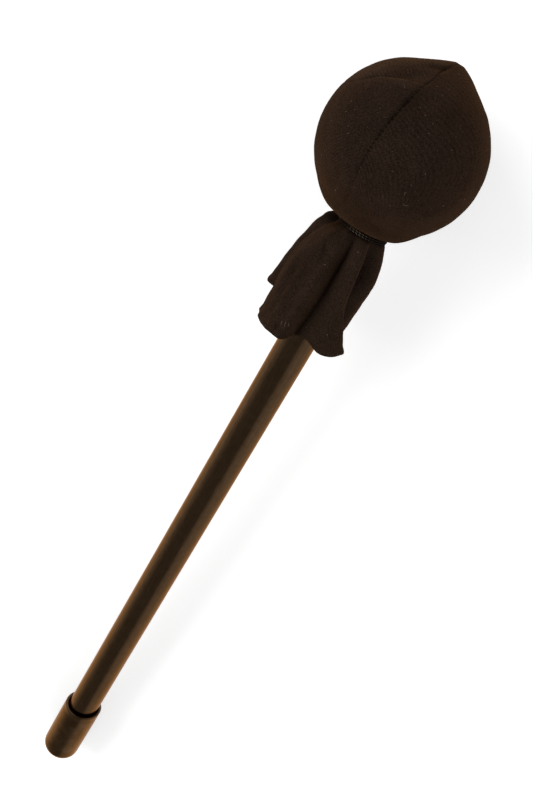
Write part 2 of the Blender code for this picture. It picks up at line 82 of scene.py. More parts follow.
def ease(low: float, high: float, value: Array) -> Array:
    """Ease from 0 at low to 1 at high with level ends: 3 s squared less 2 s cubed.

    Args:
        low: Where the ease starts.
        high: Where it ends.
        value: Places to read it at.

    Returns:
        The eased share for each value.
    """
    step = np.clip((value - low) / (high - low), 0.0, 1.0)
    return step * step * (3.0 - 2.0 * step)


def bell(value: Array, centre: float, width: float) -> Array:
    """Bell curve of height 1: e to the power of minus the squared distance in widths."""
    return np.exp(-(((value - centre) / width) ** 2))


def smooth_through(stations: tuple | Array, values: tuple | Array, at: Array) -> Array:
    """Smooth curve through values: a cubic between each two stations, with the mean slope at each.

    Args:
        stations: Rising places of the values.
        values: The curve's value at each station.
        at: Places to read the curve at, held to the first and the last station.

    Returns:
        The curve's value at each place.
    """
    x, y = np.asarray(stations, float), np.asarray(values, float)
    slope = np.gradient(y, x)
    at = np.clip(at, x[0], x[-1])
    i = np.clip(np.searchsorted(x, at, side="right") - 1, 0, len(x) - 2)
    span = x[i + 1] - x[i]
    t = (at - x[i]) / span
    start = (1 + 2 * t) * (1 - t) ** 2 * y[i] + t * (1 - t) ** 2 * span * slope[i]
    return start + t ** 2 * (3 - 2 * t) * y[i + 1] + t ** 2 * (t - 1) * span * slope[i + 1]


def around(radius: Array, azimuth: Array, height: Array) -> Array:
    """Points round the handle's axis: radius times cosine and sine of the azimuth, and the height."""
    radius, azimuth, height = np.broadcast_arrays(radius, azimuth, height)
    return np.stack([radius * np.cos(azimuth), radius * np.sin(azimuth), height], axis=-1)


def run_along(points: Array, axis: int = 0) -> Array:
    """Length along a path, or along one axis of a grid, from its start to each point.

    Args:
        points: A path or a grid, in an array whose last axis holds the coordinates.
        axis: The axis to go along.

    Returns:
        The summed distances between neighbours, from 0.
    """
    steps = np.linalg.norm(np.diff(points, axis=axis), axis=-1)
    start = np.zeros_like(np.take(steps, [0], axis=axis))
    return np.concatenate([start, np.cumsum(steps, axis=axis)], axis=axis)


def bend(start: Array, corner: Array, end: Array, share: Array) -> Array:
    """Parabola that leaves its start towards a corner and comes to its end from there.

    Args:
        start: Its first point.
        corner: The corner, which it doesn't reach.
        end: Its last point.
        share: Places along it, from 0 to 1.

    Returns:
        (1 - share) squared of the start, 2 share (1 - share) of the corner, share squared of the end.
    """
    return (1 - share) ** 2 * start + 2 * share * (1 - share) * corner + share ** 2 * end


@dataclass(frozen=True)
class MalletFrame:
    """Where the mallet lies: the ball's rest flat is at the origin and the handle's axis is tilted."""

    axis_side: float = -2.12
    ball_height: float = 26.83
    cap_reach: float = 312.8
    cap_corner: float = 3.5
    cap_radius: float = 8.2

    def tilt(self) -> float:
        """Angle at which the cap's rounded corner just touches the surface, found by repeated steps.

        Returns:
            The angle in radians.
        """
        angle, flat = 0.0, self.cap_radius - self.cap_corner
        for _ in range(20):
            drop = self.ball_height - self.cap_corner - flat * math.cos(angle)
            angle = math.asin(drop / self.cap_reach)
        return angle

    def to_world(self, points: Array, lowest: float = -math.inf) -> Array:
        """Turn points in millimetres in the mallet's frame into metres in the model's frame.

        Args:
            points: Array whose last axis is X, Y, Z in the mallet's frame.
            lowest: Height over the surface, in millimetres, to which lower points are raised.

        Returns:
            The same array in metres, with each point the origin plus its three parts along the axes.
        """
        c, s = math.cos(self.tilt()), math.sin(self.tilt())
        axes = np.array([[-s, 0.0, c], [0.0, -1.0, 0.0], [c, 0.0, s]])
        world = (points @ axes + np.array([0.0, self.axis_side, self.ball_height])) * MM
        world[..., 2] = np.maximum(world[..., 2], lowest * MM)
        return world


FRAME = MalletFrame()


def grid_quads(rows: int, columns: int) -> Array:
    """Corner numbers of the quads of a grid whose rows run down and whose columns run anticlockwise.

    Args:
        rows: Points down the grid.
        columns: Points across it.

    Returns:
        One row of four point numbers a quad: a point, the one below, the one across, the one beside.
    """
    r, c = np.meshgrid(np.arange(rows - 1), np.arange(columns - 1), indexing="ij")
    here = (r * columns + c).ravel()
    return np.stack([here, here + columns, here + columns + 1, here + 1], axis=1)


def add_mesh(name: str, points: Array, faces: Array, uv: Array | None = None,
             wear: Array | None = None) -> Piece:
    """Make a smooth mesh object at the origin from points in metres.

    Args:
        name: Name of the object and its mesh.
        points: The vertices, in an array whose last axis is X, Y, Z.
        faces: One row of corner numbers a face, all faces with as many corners.
        uv: Pattern coordinates in millimetres for each vertex, or None.
        wear: How worn the surface is at each vertex, from 0 to 1, with painted shade and painted
            highlight in it, or None.

    Returns:
        The new object, linked to the scene.
    """
    mesh = bpy.data.meshes.new(name)
    mesh.vertices.add(points.size // 3)
    mesh.vertices.foreach_set("co", points.astype(np.float32).ravel())
    mesh.loops.add(faces.size)
    mesh.loops.foreach_set("vertex_index", faces.astype(np.int32).ravel())
    mesh.polygons.add(len(faces))
    mesh.polygons.foreach_set("loop_start", np.arange(0, faces.size, faces.shape[1], dtype=np.int32))
    mesh.update(calc_edges=True)
    mesh.validate()
    if uv is not None:
        layer = mesh.uv_layers.new(name="cloth_mm")
        order = np.empty(len(mesh.loops), dtype=np.int32)
        mesh.loops.foreach_get("vertex_index", order)
        layer.data.foreach_set("uv", uv.reshape(-1, 2)[order].astype(np.float32).ravel())
    if wear is not None:
        layer = mesh.attributes.new("wear", "FLOAT", "POINT")
        layer.data.foreach_set("value", wear.astype(np.float32).ravel())
    mesh.shade_smooth()
    piece = bpy.data.objects.new(name, mesh)
    bpy.context.scene.collection.objects.link(piece)
    return piece


def merge_touching(piece: Piece, distance: float = 0.00001) -> None:
    """Merge points of a piece that lie on each other, such as a pole's or a closing seam's."""
    weld = piece.modifiers.new("closed", "WELD")
    weld.merge_threshold = distance


@dataclass(frozen=True)
class Lean:
    """Slope of a turned piece's rings: heights rise towards an azimuth, eased in above a start."""

    tangent: float
    azimuth: float
    start: float
    run: float = 25.0

    def rise(self, radius: Array, azimuth: Array, height: Array) -> Array:
        """Rise of each point: tangent times radius times cosine from the azimuth, times the ease."""
        share = ease(self.start, self.start + self.run, height)
        return self.tangent * share * radius * np.cos(azimuth - self.azimuth)


def turned(name: str, profile: Array, steps: int, lean: Lean | None = None) -> Piece:
    """Turn a profile of radius and height round the handle's axis.

    Args:
        name: Name of the piece.
        profile: Rows of radius and height, so that the outside runs down.
        steps: Points round the turn.
        lean: How the rings slope, or None.

    Returns:
        The new piece. Its UV is the arc length round the outside and down the profile.
    """
    azimuth = np.linspace(0.0, TURN, steps + 1)[None, :]
    radius, height = profile[:, :1], profile[:, 1:]
    if lean:
        height = height + lean.rise(radius, azimuth, height)
    down = run_along(profile)[:, None]
    uv = np.stack(np.broadcast_arrays(azimuth * radius.max(), down), axis=-1)
    world = FRAME.to_world(around(radius, azimuth, height))
    piece = add_mesh(name, world, grid_quads(len(profile), steps + 1), uv)
    merge_touching(piece)
    return piece


def arc_profile(centre: tuple, radius: float, start: float, end: float, steps: int) -> Array:
    """Arc in a turned profile: the centre plus the radius at angles in degrees from start to end."""
    angle = np.radians(np.linspace(start, end, steps + 1))
    return np.stack([centre[0] + radius * np.cos(angle), centre[1] + radius * np.sin(angle)], axis=1)


def rings(path: Array, angle: Array) -> Array:
    """Unit vectors from a path to the rings of a tube round it.

    The normals are square to the path, and each is carried on from the one before. A vector is the
    normal times the cosine of its angle, plus the tangent crossed with the normal times the sine.

    Args:
        path: Points of the path.
        angle: Angles round each ring.

    Returns:
        Vectors in an array of path points by angles by 3.
    """
    tangent = np.gradient(path, axis=0)
    tangent = tangent / np.linalg.norm(tangent, axis=1, keepdims=True)
    normal = np.zeros_like(path)
    guess = np.cross(tangent[0], (0.0, 0.0, 1.0))
    if np.linalg.norm(guess) < 0.1:
        guess = np.cross(tangent[0], (0.0, 1.0, 0.0))
    for index, direction in enumerate(tangent):
        guess = guess - direction * np.dot(guess, direction)
        guess = guess / np.linalg.norm(guess)
        normal[index] = guess
    second = np.cross(tangent, normal)
    return np.cos(angle)[:, None] * normal[:, None] + np.sin(angle)[:, None] * second[:, None]


def tubes(name: str, paths: list[Array], radii: list[float], sides: int) -> Piece:
    """Make thin round tubes as one piece, with their end rings pinched to the centre line.

    Args:
        name: Name of the piece.
        paths: Centre line of each tube.
        radii: Radius of each tube.
        sides: Points round a tube.

    Returns:
        The new piece, no point of which is below the surface.
    """
    angle = np.linspace(0.0, TURN, sides, endpoint=False)
    points, faces, first = [], [], 0
    for path, radius in zip(paths, radii):
        swell = np.full((len(path), 1, 1), radius)
        swell[[0, -1]] = radius * 0.05
        points.append((path[:, None] + rings(path, angle) * swell).reshape(-1, 3))
        r, c = np.meshgrid(np.arange(len(path) - 1) * sides, np.arange(sides), indexing="ij")
        across = (c + 1) % sides
        quads = np.stack([r + c, r + across, r + sides + across, r + sides + c], axis=-1)
        faces.append(first + quads.reshape(-1, 4))
        first += len(path) * sides
    return add_mesh(name, FRAME.to_world(np.concatenate(points), 0.0), np.concatenate(faces))


class Nodes:
    """The nodes of a material or the world, with short ways to add and join them."""

    def __init__(self, owner: Material | bpy.types.World, shader: str = "Principled BSDF") -> None:
        """Start from the shader that comes with a new material or world.

        Args:
            owner: The material or the world.
            shader: Name of its shader.
        """
        owner.use_nodes = True
        self.owner = owner
        self.tree = owner.node_tree
        self.shader = self.tree.nodes[shader]

    @classmethod
    def named(cls, name: str) -> Nodes:
        """Start a new material."""
        return cls(bpy.data.materials.new(name))

    def add(self, kind: str, **settings: object) -> bpy.types.Node:
        """Add a node and set its own properties.

        Args:
            kind: Node type.
            settings: Property names and values.

        Returns:
            The new node.
        """
        node = self.tree.nodes.new(kind)
        for key, value in settings.items():
            setattr(node, key, value)
        return node

    def join(self, source: Socket, target: Socket) -> None:
        """Link an output socket to an input socket."""
        self.tree.links.new(source, target)

    def put(self, value: Socket | float | tuple, target: Socket) -> None:
        """Link a socket to an input, or set the input to a number or a colour of three numbers.

        Args:
            value: A socket, a number or a colour.
            target: The input.
        """
        if isinstance(value, Socket):
            self.join(value, target)
        else:
            target.default_value = (*value, 1.0) if isinstance(value, tuple) else value

    def set(self, **values: Socket | float | tuple) -> None:
        """Link or set the shader's own inputs, named with underscores for spaces."""
        for key, value in values.items():
            self.put(value, self.shader.inputs[key.replace("_", " ")])

    def coordinates(self, kind: str = "Object") -> Socket:
        """Texture coordinates of a kind."""
        return self.add("ShaderNodeTexCoord").outputs[kind]

    def mapped(self, kind: str, scale: tuple, turn: tuple = (0.0, 0.0, 0.0)) -> Socket:
        """Texture coordinates that are turned and scaled.

        Args:
            kind: Kind of coordinates.
            scale: Factor on each axis.
            turn: Angle round each axis.

        Returns:
            The coordinates' socket.
        """
        mapping = self.add("ShaderNodeMapping")
        mapping.inputs["Rotation"].default_value = turn
        mapping.inputs["Scale"].default_value = scale
        self.join(self.coordinates(kind), mapping.inputs["Vector"])
        return mapping.outputs["Vector"]

    def wear(self) -> Socket:
        """The wear attribute of the mesh, which also carries painted shade and painted highlight."""
        return self.add("ShaderNodeAttribute", attribute_name="wear").outputs["Fac"]

    def maths(self, operation: str, first: Socket | float, second: Socket | float | None = None,
              clamp: bool = False) -> Socket:
        """Add a Math node.

        Args:
            operation: Its operation.
            first: A socket or a number.
            second: A socket, a number or None.
            clamp: Whether to hold the result between 0 and 1.

        Returns:
            Its output socket.
        """
        node = self.add("ShaderNodeMath", operation=operation, use_clamp=clamp)
        self.put(first, node.inputs[0])
        if second is not None:
            self.put(second, node.inputs[1])
        return node.outputs[0]

    def plus(self, first: Socket | float, second: Socket | float) -> Socket:
        """Sum of two values."""
        return self.maths("ADD", first, second)

    def times(self, first: Socket | float, second: Socket | float, clamp: bool = False) -> Socket:
        """Product of two values, held between 0 and 1 if asked."""
        return self.maths("MULTIPLY", first, second, clamp)

    def less(self, first: Socket | float, second: Socket | float) -> Socket:
        """First value less the second."""
        return self.maths("SUBTRACT", first, second)

    def from_half(self, value: Socket) -> Socket:
        """Distance of a value's fraction from a half, which is a triangle wave."""
        return self.maths("ABSOLUTE", self.less(self.maths("FRACT", value), 0.5))

    def noise(self, vector: Socket, scale: float, detail: float = 2.0,
              roughness: float = 0.5) -> Socket:
        """Add noise.

        Args:
            vector: Coordinates.
            scale: How fine it is.
            detail: Number of finer layers.
            roughness: Strength of each finer layer.

        Returns:
            Its factor socket.
        """
        node = self.add("ShaderNodeTexNoise")
        for key, value in (("Scale", scale), ("Detail", detail), ("Roughness", roughness)):
            node.inputs[key].default_value = value
        self.join(vector, node.inputs["Vector"])
        return node.outputs["Fac"]

    def ramp(self, factor: Socket, stops: tuple) -> Socket:
        """Add a colour ramp.

        Args:
            factor: Socket to read.
            stops: Rows of a place and a colour of three numbers.

        Returns:
            Its colour socket.
        """
        node = self.add("ShaderNodeValToRGB")
        elements = node.color_ramp.elements
        while len(elements) < len(stops):
            elements.new(0.5)
        for element, (place, colour) in zip(elements, stops):
            element.position = place
            element.color = (*colour, 1.0)
        self.join(factor, node.inputs["Fac"])
        return node.outputs["Color"]

    def mix(self, factor: Socket, first: Socket | tuple, second: Socket | tuple) -> Socket:
        """Mix two colours, each a socket or three numbers.

        Args:
            factor: Share of the second colour.
            first: The first colour.
            second: The second colour.

        Returns:
            The colour's socket.
        """
        node = self.add("ShaderNodeMix", data_type="RGBA")
        for index, value in ((0, factor), (6, first), (7, second)):
            self.put(value, node.inputs[index])
        return node.outputs[2]

    def bump(self, height: Socket, distance: float, strength: float = 1.0,
             under: Socket | None = None) -> Socket:
        """Add a bump.

        Args:
            height: Socket of the height, from 0 to 1.
            distance: Depth in metres.
            strength: Share of it that shows.
            under: Normal of a broader bump beneath it, or None.

        Returns:
            Its normal socket.
        """
        node = self.add("ShaderNodeBump")
        node.inputs["Strength"].default_value = strength
        node.inputs["Distance"].default_value = distance
        self.join(height, node.inputs["Height"])
        if under is not None:
            self.join(under, node.inputs["Normal"])
        return node.outputs["Normal"]


@dataclass(frozen=True)
class KnitFinish:
    """Black jersey knit, a little washed out, with lint on it.

    wale and course are in millimetres, each scale is per metre, and relief and swell are in metres.
    """

    dark: tuple = (0.0113, 0.0071, 0.0051)
    worn: tuple = (0.0435, 0.0263, 0.0181)
    unworn_and_shaded: tuple = (0.0045, 0.0030, 0.0022)
    lint: tuple = (0.16, 0.115, 0.075)
    tones: tuple = (0.58, 0.88)
    wale: float = 0.82
    course: float = 0.60
    lean: float = 1.4
    wobble_scale: float = 420.0
    wobble: float = 0.9
    fuzz_scale: float = 2300.0
    relief: float = 0.00010
    weave_relief: float = 0.65
    fuzz_relief: float = 1.8
    swell_scale: float = 95.0
    swell: float = 0.0007
    wash_scale: float = 60.0
    wash_tone: float = 0.36
    weave_tone: float = 0.11
    speck_scale: float = 1500.0
    patch_scale: float = 120.0
    patch_share: float = 0.20
    lint_from: float = 0.86
    lint_gain: float = 7.0
    sheen: float = 0.105
    sheen_roughness: float = 0.42
    sheen_tint: tuple = (1.0, 0.46, 0.18)

    def weave(self, n: Nodes) -> Socket:
        """Height of the stitches. Ribs are one less the squared distance from each wale's middle,
        and stitches lean to both sides of it as a V.

        Args:
            n: The material's nodes.

        Returns:
            The height's socket.
        """
        apart = n.add("ShaderNodeSeparateXYZ")
        n.join(n.coordinates("UV"), apart.inputs[0])
        wobble = n.times(n.noise(n.coordinates(), self.wobble_scale), self.wobble)
        across = n.plus(n.maths("DIVIDE", apart.outputs[0], self.wale), wobble)
        from_middle = n.from_half(across)
        rib = n.less(1.0, n.maths("POWER", n.times(from_middle, 2.0), 2.0))
        down = n.plus(n.maths("DIVIDE", apart.outputs[1], self.course), from_middle)
        return n.times(rib, n.less(1.0, n.times(n.from_half(down), self.lean)))

    def build(self) -> Material:
        """Make the material. The colour mixes wash, weave and fuzz, and lint is the high points of a
        fine noise. The wear attribute pulls the colour to the unworn black, and that attribute also
        holds painted shade in folds, hollows, seam grooves and under the ball, and a painted highlight
        on a crest. All the gloss is in the sheen, which has the brown of the faded dye.

        Returns:
            The material.
        """
        n = Nodes.named("black_knit")
        position, weave = n.coordinates(), self.weave(n)
        fuzz = n.noise(position, self.fuzz_scale, 3.0, 0.75)
        surface = n.plus(n.times(weave, self.weave_relief), n.times(fuzz, self.fuzz_relief))
        broad = n.bump(n.noise(position, self.swell_scale, 3.0), self.swell, strength=0.30)
        wash = n.noise(position, self.wash_scale, 5.0, 0.65)
        tone = n.plus(n.plus(n.times(wash, self.wash_tone), n.times(weave, self.weave_tone)), fuzz)
        cloth = n.ramp(tone, tuple(zip(self.tones, (self.dark, self.worn))))
        # Low wear gives near black: painted shade in folds, hollows, seam grooves and under the ball;
        # high wear on a crest is a painted highlight.
        cloth = n.mix(n.wear(), self.unworn_and_shaded, cloth)
        patches = n.times(n.noise(position, self.patch_scale), self.patch_share)
        chance = n.plus(n.noise(position, self.speck_scale, 1.0), patches)
        lint = n.times(n.less(chance, self.lint_from), self.lint_gain, clamp=True)
        n.set(Base_Color=n.mix(lint, cloth, self.lint), Roughness=1.0, Specular_IOR_Level=0.0,
              Sheen_Weight=self.sheen, Sheen_Roughness=self.sheen_roughness,
              Sheen_Tint=self.sheen_tint, Normal=n.bump(surface, self.relief, 0.9, broad))
        return n.owner


@dataclass(frozen=True)
class GlossFinish:
    """Gloss black. It is a dark metal to the shader, so that its edges keep a brown."""

    rubbed: tuple
    tones: tuple
    rough_gain: float
    colour: tuple = (0.058, 0.033, 0.0165)
    edge: tuple = (1.0, 0.69, 0.52)
    smooth: float = 0.06

    def dress(self, n: Nodes, wear: Socket, normal: Socket) -> Material:
        """Colour and roughen a material by its wear.

        Args:
            n: The material's nodes.
            wear: How rubbed each place is.
            normal: The bumped normal.

        Returns:
            The material.
        """
        n.set(Base_Color=n.ramp(wear, tuple(zip(self.tones, (self.colour, self.rubbed)))),
              Roughness=n.plus(n.times(wear, self.rough_gain), self.smooth), Normal=normal,
              Metallic=1.0, Specular_Tint=self.edge)
        return n.owner


@dataclass(frozen=True)
class LacquerFinish(GlossFinish):
    """Lacquer over drawn metal, with faint lengthwise lines."""

    rubbed: tuple = (0.082, 0.050, 0.028)
    tones: tuple = (0.38, 0.68)
    rough_gain: float = 0.20
    stretch: float = 60.0

    def build(self) -> Material:
        """Make the material. The lines are a noise that is stretched along the tube.

        Returns:
            The material.
        """
        n = Nodes.named("gloss_black_lacquer")
        along = n.mapped("Object", (1.0 / self.stretch, 1.0, 1.0), (0.0, FRAME.tilt(), 0.0))
        lines = n.noise(along, 1900.0, 3.0, 0.6)
        marks = n.noise(n.coordinates(), 420.0, 4.0, 0.65)
        return self.dress(n, n.times(n.plus(lines, marks), 0.5), n.bump(lines, 0.00002, 0.35))


@dataclass(frozen=True)
class VinylFinish(GlossFinish):
    """Dip-moulded vinyl: a softer gloss, a slight orange peel and handling marks."""

    rubbed: tuple = (0.105, 0.066, 0.038)
    tones: tuple = (0.42, 0.80)
    rough_gain: float = 0.34

    def build(self) -> Material:
        """Make the material. Peel is a fine noise in the bump, and rubbing a broad one in the colour.

        Returns:
            The material.
        """
        n = Nodes.named("black_vinyl")
        peel = n.bump(n.noise(n.coordinates(), 900.0), 0.00004, 0.25)
        return self.dress(n, n.noise(n.coordinates(), 160.0, 5.0, 0.65), peel)


@dataclass(frozen=True)
class CordFinish:
    """Waxed black cord or thread, whose fibres run with its lay."""

    name: str = "waxed_cord"
    dark: tuple = (0.0080, 0.0054, 0.0036)
    # Colour of the painted highlight on the strand crests.
    light: tuple = (0.160, 0.125, 0.094)
    stretch: tuple = (6.0, 1.2, 1.0)

    def build(self) -> Material:
        """Make the material. Fibres are a noise stretched along the cord in its UV, and the crests of
        the strands, which its wear attribute marks, are painted pale as highlights, strongest on the
        side towards the viewer.

        Returns:
            The material.
        """
        n = Nodes.named(self.name)
        fibres = n.noise(n.mapped("UV", self.stretch), 2.0, 3.0, 0.6)
        rubbed = n.times(n.wear(), n.times(fibres, 2.0), clamp=True)
        # The pale colour is the painted highlight on the strand crests.
        n.set(Base_Color=n.ramp(rubbed, ((0.30, self.dark), (0.95, self.light))), Roughness=0.8,
              Specular_IOR_Level=0.05, Specular_Tint=(1.0, 0.65, 0.40),
              Normal=n.bump(fibres, 0.00008, 0.6))
        return n.owner


@dataclass(frozen=True)
class PlainFinish:
    """Mottled matt finish: felt, rubber or lint.

    grain is a scale per metre and detail its finer layers and their strength. darkest is the share
    of the colour at the low tone, and relief is in metres.
    """

    name: str
    colour: tuple
    roughness: float
    grain: float
    detail: tuple = (4.0, 0.65)
    darkest: float = 0.8
    tones: tuple = (0.3, 0.7)
    relief: float = 0.0003

    def build(self) -> Material:
        """Make the material. A noise mottles the colour and roughens a surface that has relief.

        Returns:
            The material.
        """
        n = Nodes.named(self.name)
        grain = n.noise(n.coordinates(), self.grain, *self.detail)
        darker = tuple(self.darkest * part for part in self.colour)
        n.set(Base_Color=n.ramp(grain, tuple(zip(self.tones, (darker, self.colour)))),
              Roughness=self.roughness)
        if self.relief:
            n.set(Normal=n.bump(grain, self.relief, 0.5))
        return n.owner


@dataclass
class Handle:
    """Tube of gloss black, open at both ends, with the burr taken off."""

    diameter: float = 13.2
    wall: float = 1.6
    length: float = 317.5
    low_end: float = -313.8
    edge: float = 0.3
    outside_rings: int = 60
    bore_rings: int = 8
    steps: int = 144

    def profile(self) -> Array:
        """Closed profile: up the bore, over the top's rounded edges, down the outside and back.

        Returns:
            Rows of radius and height.
        """
        outer, e = self.diameter / 2, self.edge
        inner = outer - self.wall
        high, low = self.low_end + self.length - e, self.low_end + e
        outside = np.linspace((outer, high), (outer, low), self.outside_rings)
        bore = np.linspace((inner, low), (inner, high), self.bore_rings)
        return np.concatenate([
            bore,
            arc_profile((inner + e, high), e, 180, 90, 4),
            arc_profile((outer - e, high), e, 90, 0, 4),
            outside,
            arc_profile((outer - e, low), e, 0, -90, 4),
            arc_profile((inner + e, low), e, -90, -180, 4),
        ])

    def build(self) -> list[Piece]:
        """Make the tube and dress it.

        Returns:
            The new pieces.
        """
        tube = turned("handle_tube_lacquered", self.profile(), self.steps)
        finish_piece(tube, LacquerFinish().build(), Slot.TUBE, "handle_tube")
        return [tube]


@dataclass
class EndCap:
    """Push-on moulded cap with a thin rounded lip and a well rounded closed end."""

    end: float = -316.3
    length: float = 32.4
    diameter: float = 16.4
    end_wall: float = 2.2
    corner: float = 3.5
    lip: float = 0.5
    clearance: float = 0.3
    bore: float = 13.2
    bore_corner: float = 1.0
    swell: float = 0.07
    dip: float = 0.05
    dip_at: float = 0.93
    dip_width: float = 0.03
    mouth_slope: float = math.tan(radians(6.8))
    mouth_azimuth: float = radians(75.0)
    lean_from: float = 5.0
    steps: int = 144

    def profile(self) -> Array:
        """Open profile from the middle of the bore's floor, over the lip and down to the closed end.

        The wall swells by a few hundredths where the cap grips and dips as little below the lip.

        Returns:
            Rows of radius and height.
        """
        outer, inner = self.diameter / 2, self.bore / 2 + self.clearance
        mouth, floor = self.end + self.length, self.end + self.end_wall
        heights = np.linspace(mouth - self.lip, self.end + self.corner, 40)
        above = (heights - self.end) / self.length
        dip = self.dip * bell(above, self.dip_at, self.dip_width)
        swell = self.swell * np.sin(math.pi * above) - dip
        wall = np.stack([outer + swell, heights], axis=1)
        face = np.linspace((outer - self.corner, self.end), (0.0, self.end), 12)
        turn = self.bore_corner
        return np.concatenate([
            np.array([[0.0, floor], [inner * 0.6, floor]]),
            arc_profile((inner - turn, floor + turn), turn, -90, 0, 6),
            arc_profile((inner + self.lip, mouth - self.lip), self.lip, 180, 90, 5),
            arc_profile((outer - self.lip, mouth - self.lip), self.lip, 90, 0, 5)[:-1],
            wall,
            arc_profile((outer - self.corner, self.end + self.corner), self.corner, 0, -90, 16)[1:-1],
            face,
        ])

    def build(self) -> list[Piece]:
        """Make the cap and dress it.

        Returns:
            The new pieces.
        """
        lean = Lean(self.mouth_slope, self.mouth_azimuth, self.end + self.lean_from)
        cap = turned("end_cap_vinyl", self.profile(), self.steps, lean)
        finish_piece(cap, VinylFinish().build(), Slot.CAP, "end_cap")
        return [cap]


@dataclass(frozen=True)
class Seam:
    """One seam of the ball: azimuths in degrees at crown, waist and neck, and how deep it draws in.

    near_crown and at_waist are depths in millimetres, and stitches is the share added at a stitch.
    at_crown is the share of near_crown that is left at the crown itself.
    """

    azimuths: tuple
    near_crown: float
    at_waist: float
    stitches: float
    at_crown: float = 1.0


@dataclass(frozen=True)
class Ball:
    """Form of the soft head: a sphere whose crown leans, with slack cloth at the crown."""

    radius: float = 27.33
    offset: float = -2.12
    crown_lean: float = radians(36.0)
    crown_azimuth: float = radians(-12.0)
    lean_fades_at: float = radians(135.0)
    bends: tuple = tuple(radians(a) for a in (45.0, 105.0, 122.0, 152.0))
    seam_front: Seam = Seam((-17.0, -17.0, -32.0), 0.36, 0.07, 0.6, 0.4)
    seam_left: Seam = Seam((-80.0, -128.0, -105.0), 0.30, 0.12, 0.15)
    seam_right: Seam = Seam((163.0, 105.0, 98.0), 0.36, 0.16, 0.15)
    peak_height: float = 3.25
    peak_angle: float = radians(38.0)
    peak_spread: float = radians(15.0)
    peak_at_crown: float = 0.25
    peak_reach_front: float = 15.0
    peak_reach_back: float = 12.0
    peak_fall_front: float = 1.65
    peak_fall_back: float = 1.6
    dimple_depth: float = 2.5
    dimple_angle: float = radians(10.0)
    dimple_spread: float = radians(11.0)
    crest_height: float = 0.8
    crest_angle: float = radians(18.0)
    crest_spread: float = radians(12.0)
    crest_from_seam: float = 2.4
    crest_width: float = 3.5
    chin_swell: float = 1.3
    chin_from: float = radians(132.0)
    chin_to: float = radians(150.0)
    chin_unevenness: float = 0.22
    crease_depth: float = 0.32
    crease_width: float = 1.25
    crease_angle: float = radians(20.5)
    crease_ends: tuple = (0.0, 5.0, 24.0, 38.0)

    def direction(self, theta: Array, phi: Array) -> Array:
        """Unit vectors on rings of angle theta round a centre that leans towards the crown.

        The rings' centre leans by crown_lean at theta 0 and stands on the axis from lean_fades_at.

        Args:
            theta: Angle of each ring.
            phi: Azimuth on the ring.

        Returns:
            Unit vectors in the mallet's frame.
        """
        lean = self.crown_lean * (1.0 - ease(0.0, self.lean_fades_at, theta))
        x = np.sin(theta) * np.cos(phi - self.crown_azimuth)
        y = np.sin(theta) * np.sin(phi - self.crown_azimuth)
        z = np.cos(theta) * np.ones_like(phi)
        leaned_x = x * np.cos(lean) + z * np.sin(lean)
        leaned_z = z * np.cos(lean) - x * np.sin(lean)
        c, s = math.cos(self.crown_azimuth), math.sin(self.crown_azimuth)
        return np.stack([leaned_x * c - y * s, leaned_x * s + y * c, leaned_z], axis=-1)

    def seam(self, seam: Seam, theta: Array) -> Array:
        """Azimuth of a seam: its crown value eased to its waist value and then to its neck value.

        Args:
            seam: The seam.
            theta: Angle of each ring.

        Returns:
            Azimuth in radians.
        """
        crown, waist, neck = (radians(value) for value in seam.azimuths)
        to_waist = (waist - crown) * ease(self.bends[0], self.bends[1], theta)
        return crown + to_waist + (neck - waist) * ease(self.bends[2], self.bends[3], theta)

    def relief(self, theta: Array, phi: Array) -> Array:
        """Height of the slack cloth over the sphere: pinched corner, dimple, puffed edge and chin.

        Args:
            theta: Angle of each ring.
            phi: Azimuth on the ring.

        Returns:
            Height in millimetres over the sphere.
        """
        right, left = self.seam(self.seam_right, theta), self.seam(self.seam_left, theta)
        across = self.radius * np.sin(theta)
        near_crown = bell(theta, self.dimple_angle, self.dimple_spread)
        along = bell(theta, self.peak_angle, self.peak_spread) + self.peak_at_crown * near_crown
        aside = across * (right - phi)
        on_front = (1.0 - np.clip(aside / self.peak_reach_front, 0.0, 1.0)) ** self.peak_fall_front
        on_back = (1.0 - np.clip(-aside / self.peak_reach_back, 0.0, 1.0)) ** self.peak_fall_back
        peak = self.peak_height * along * np.where(aside >= 0.0, on_front, on_back)
        back_width = left + TURN - right
        share = np.clip((phi - right) / back_width, 0.0, 1.0)
        on_back_gore = (phi > right) & (phi < right + back_width)
        dimple = self.dimple_depth * near_crown * (1.0 + np.sin(math.pi * share)) / 2
        crest = self.crest_height * bell(theta, self.crest_angle, self.crest_spread)
        crest = crest * bell(across * (phi - left), self.crest_from_seam, self.crest_width)
        chin = self.chin_swell * ease(self.chin_from, self.chin_to, theta)
        chin = chin * (1.0 - self.chin_unevenness * (1.0 - np.sin(phi)))
        crease = self.crease_depth * self.crease(theta, phi)
        return peak + chin + np.where(on_back_gore, -dimple, crest) - crease

    def crease(self, theta: Array, phi: Array) -> Array:
        """How near each place is to the crease of the back gore beside the pinched corner.

        It runs along the ring of crease_angle, between the crease_ends in degrees from the right
        seam's crown azimuth, and a bell falls off to both sides of it.

        Args:
            theta: Angle of each ring.
            phi: Azimuth on the ring.

        Returns:
            A share from 0 to 1.
        """
        from_seam = np.degrees(phi) - self.seam_right.azimuths[0]
        starts, full, fades, gone = self.crease_ends
        ends = ease(starts, full, from_seam) * (1.0 - ease(fades, gone, from_seam))
        return ends * bell(self.radius * (theta - self.crease_angle), 0.0, self.crease_width)

    def point(self, theta: Array, phi: Array, radius: Array) -> Array:
        """Points of the ball: direction times radius, off the axis by the offset."""
        return self.direction(theta, phi) * radius[..., None] + np.array([0.0, self.offset, 0.0])


@dataclass(frozen=True)
class Fold:
    """One valley or ridge of the skirt: azimuths at the tie, half way and hem, and its radii."""

    azimuths: tuple
    radii: tuple


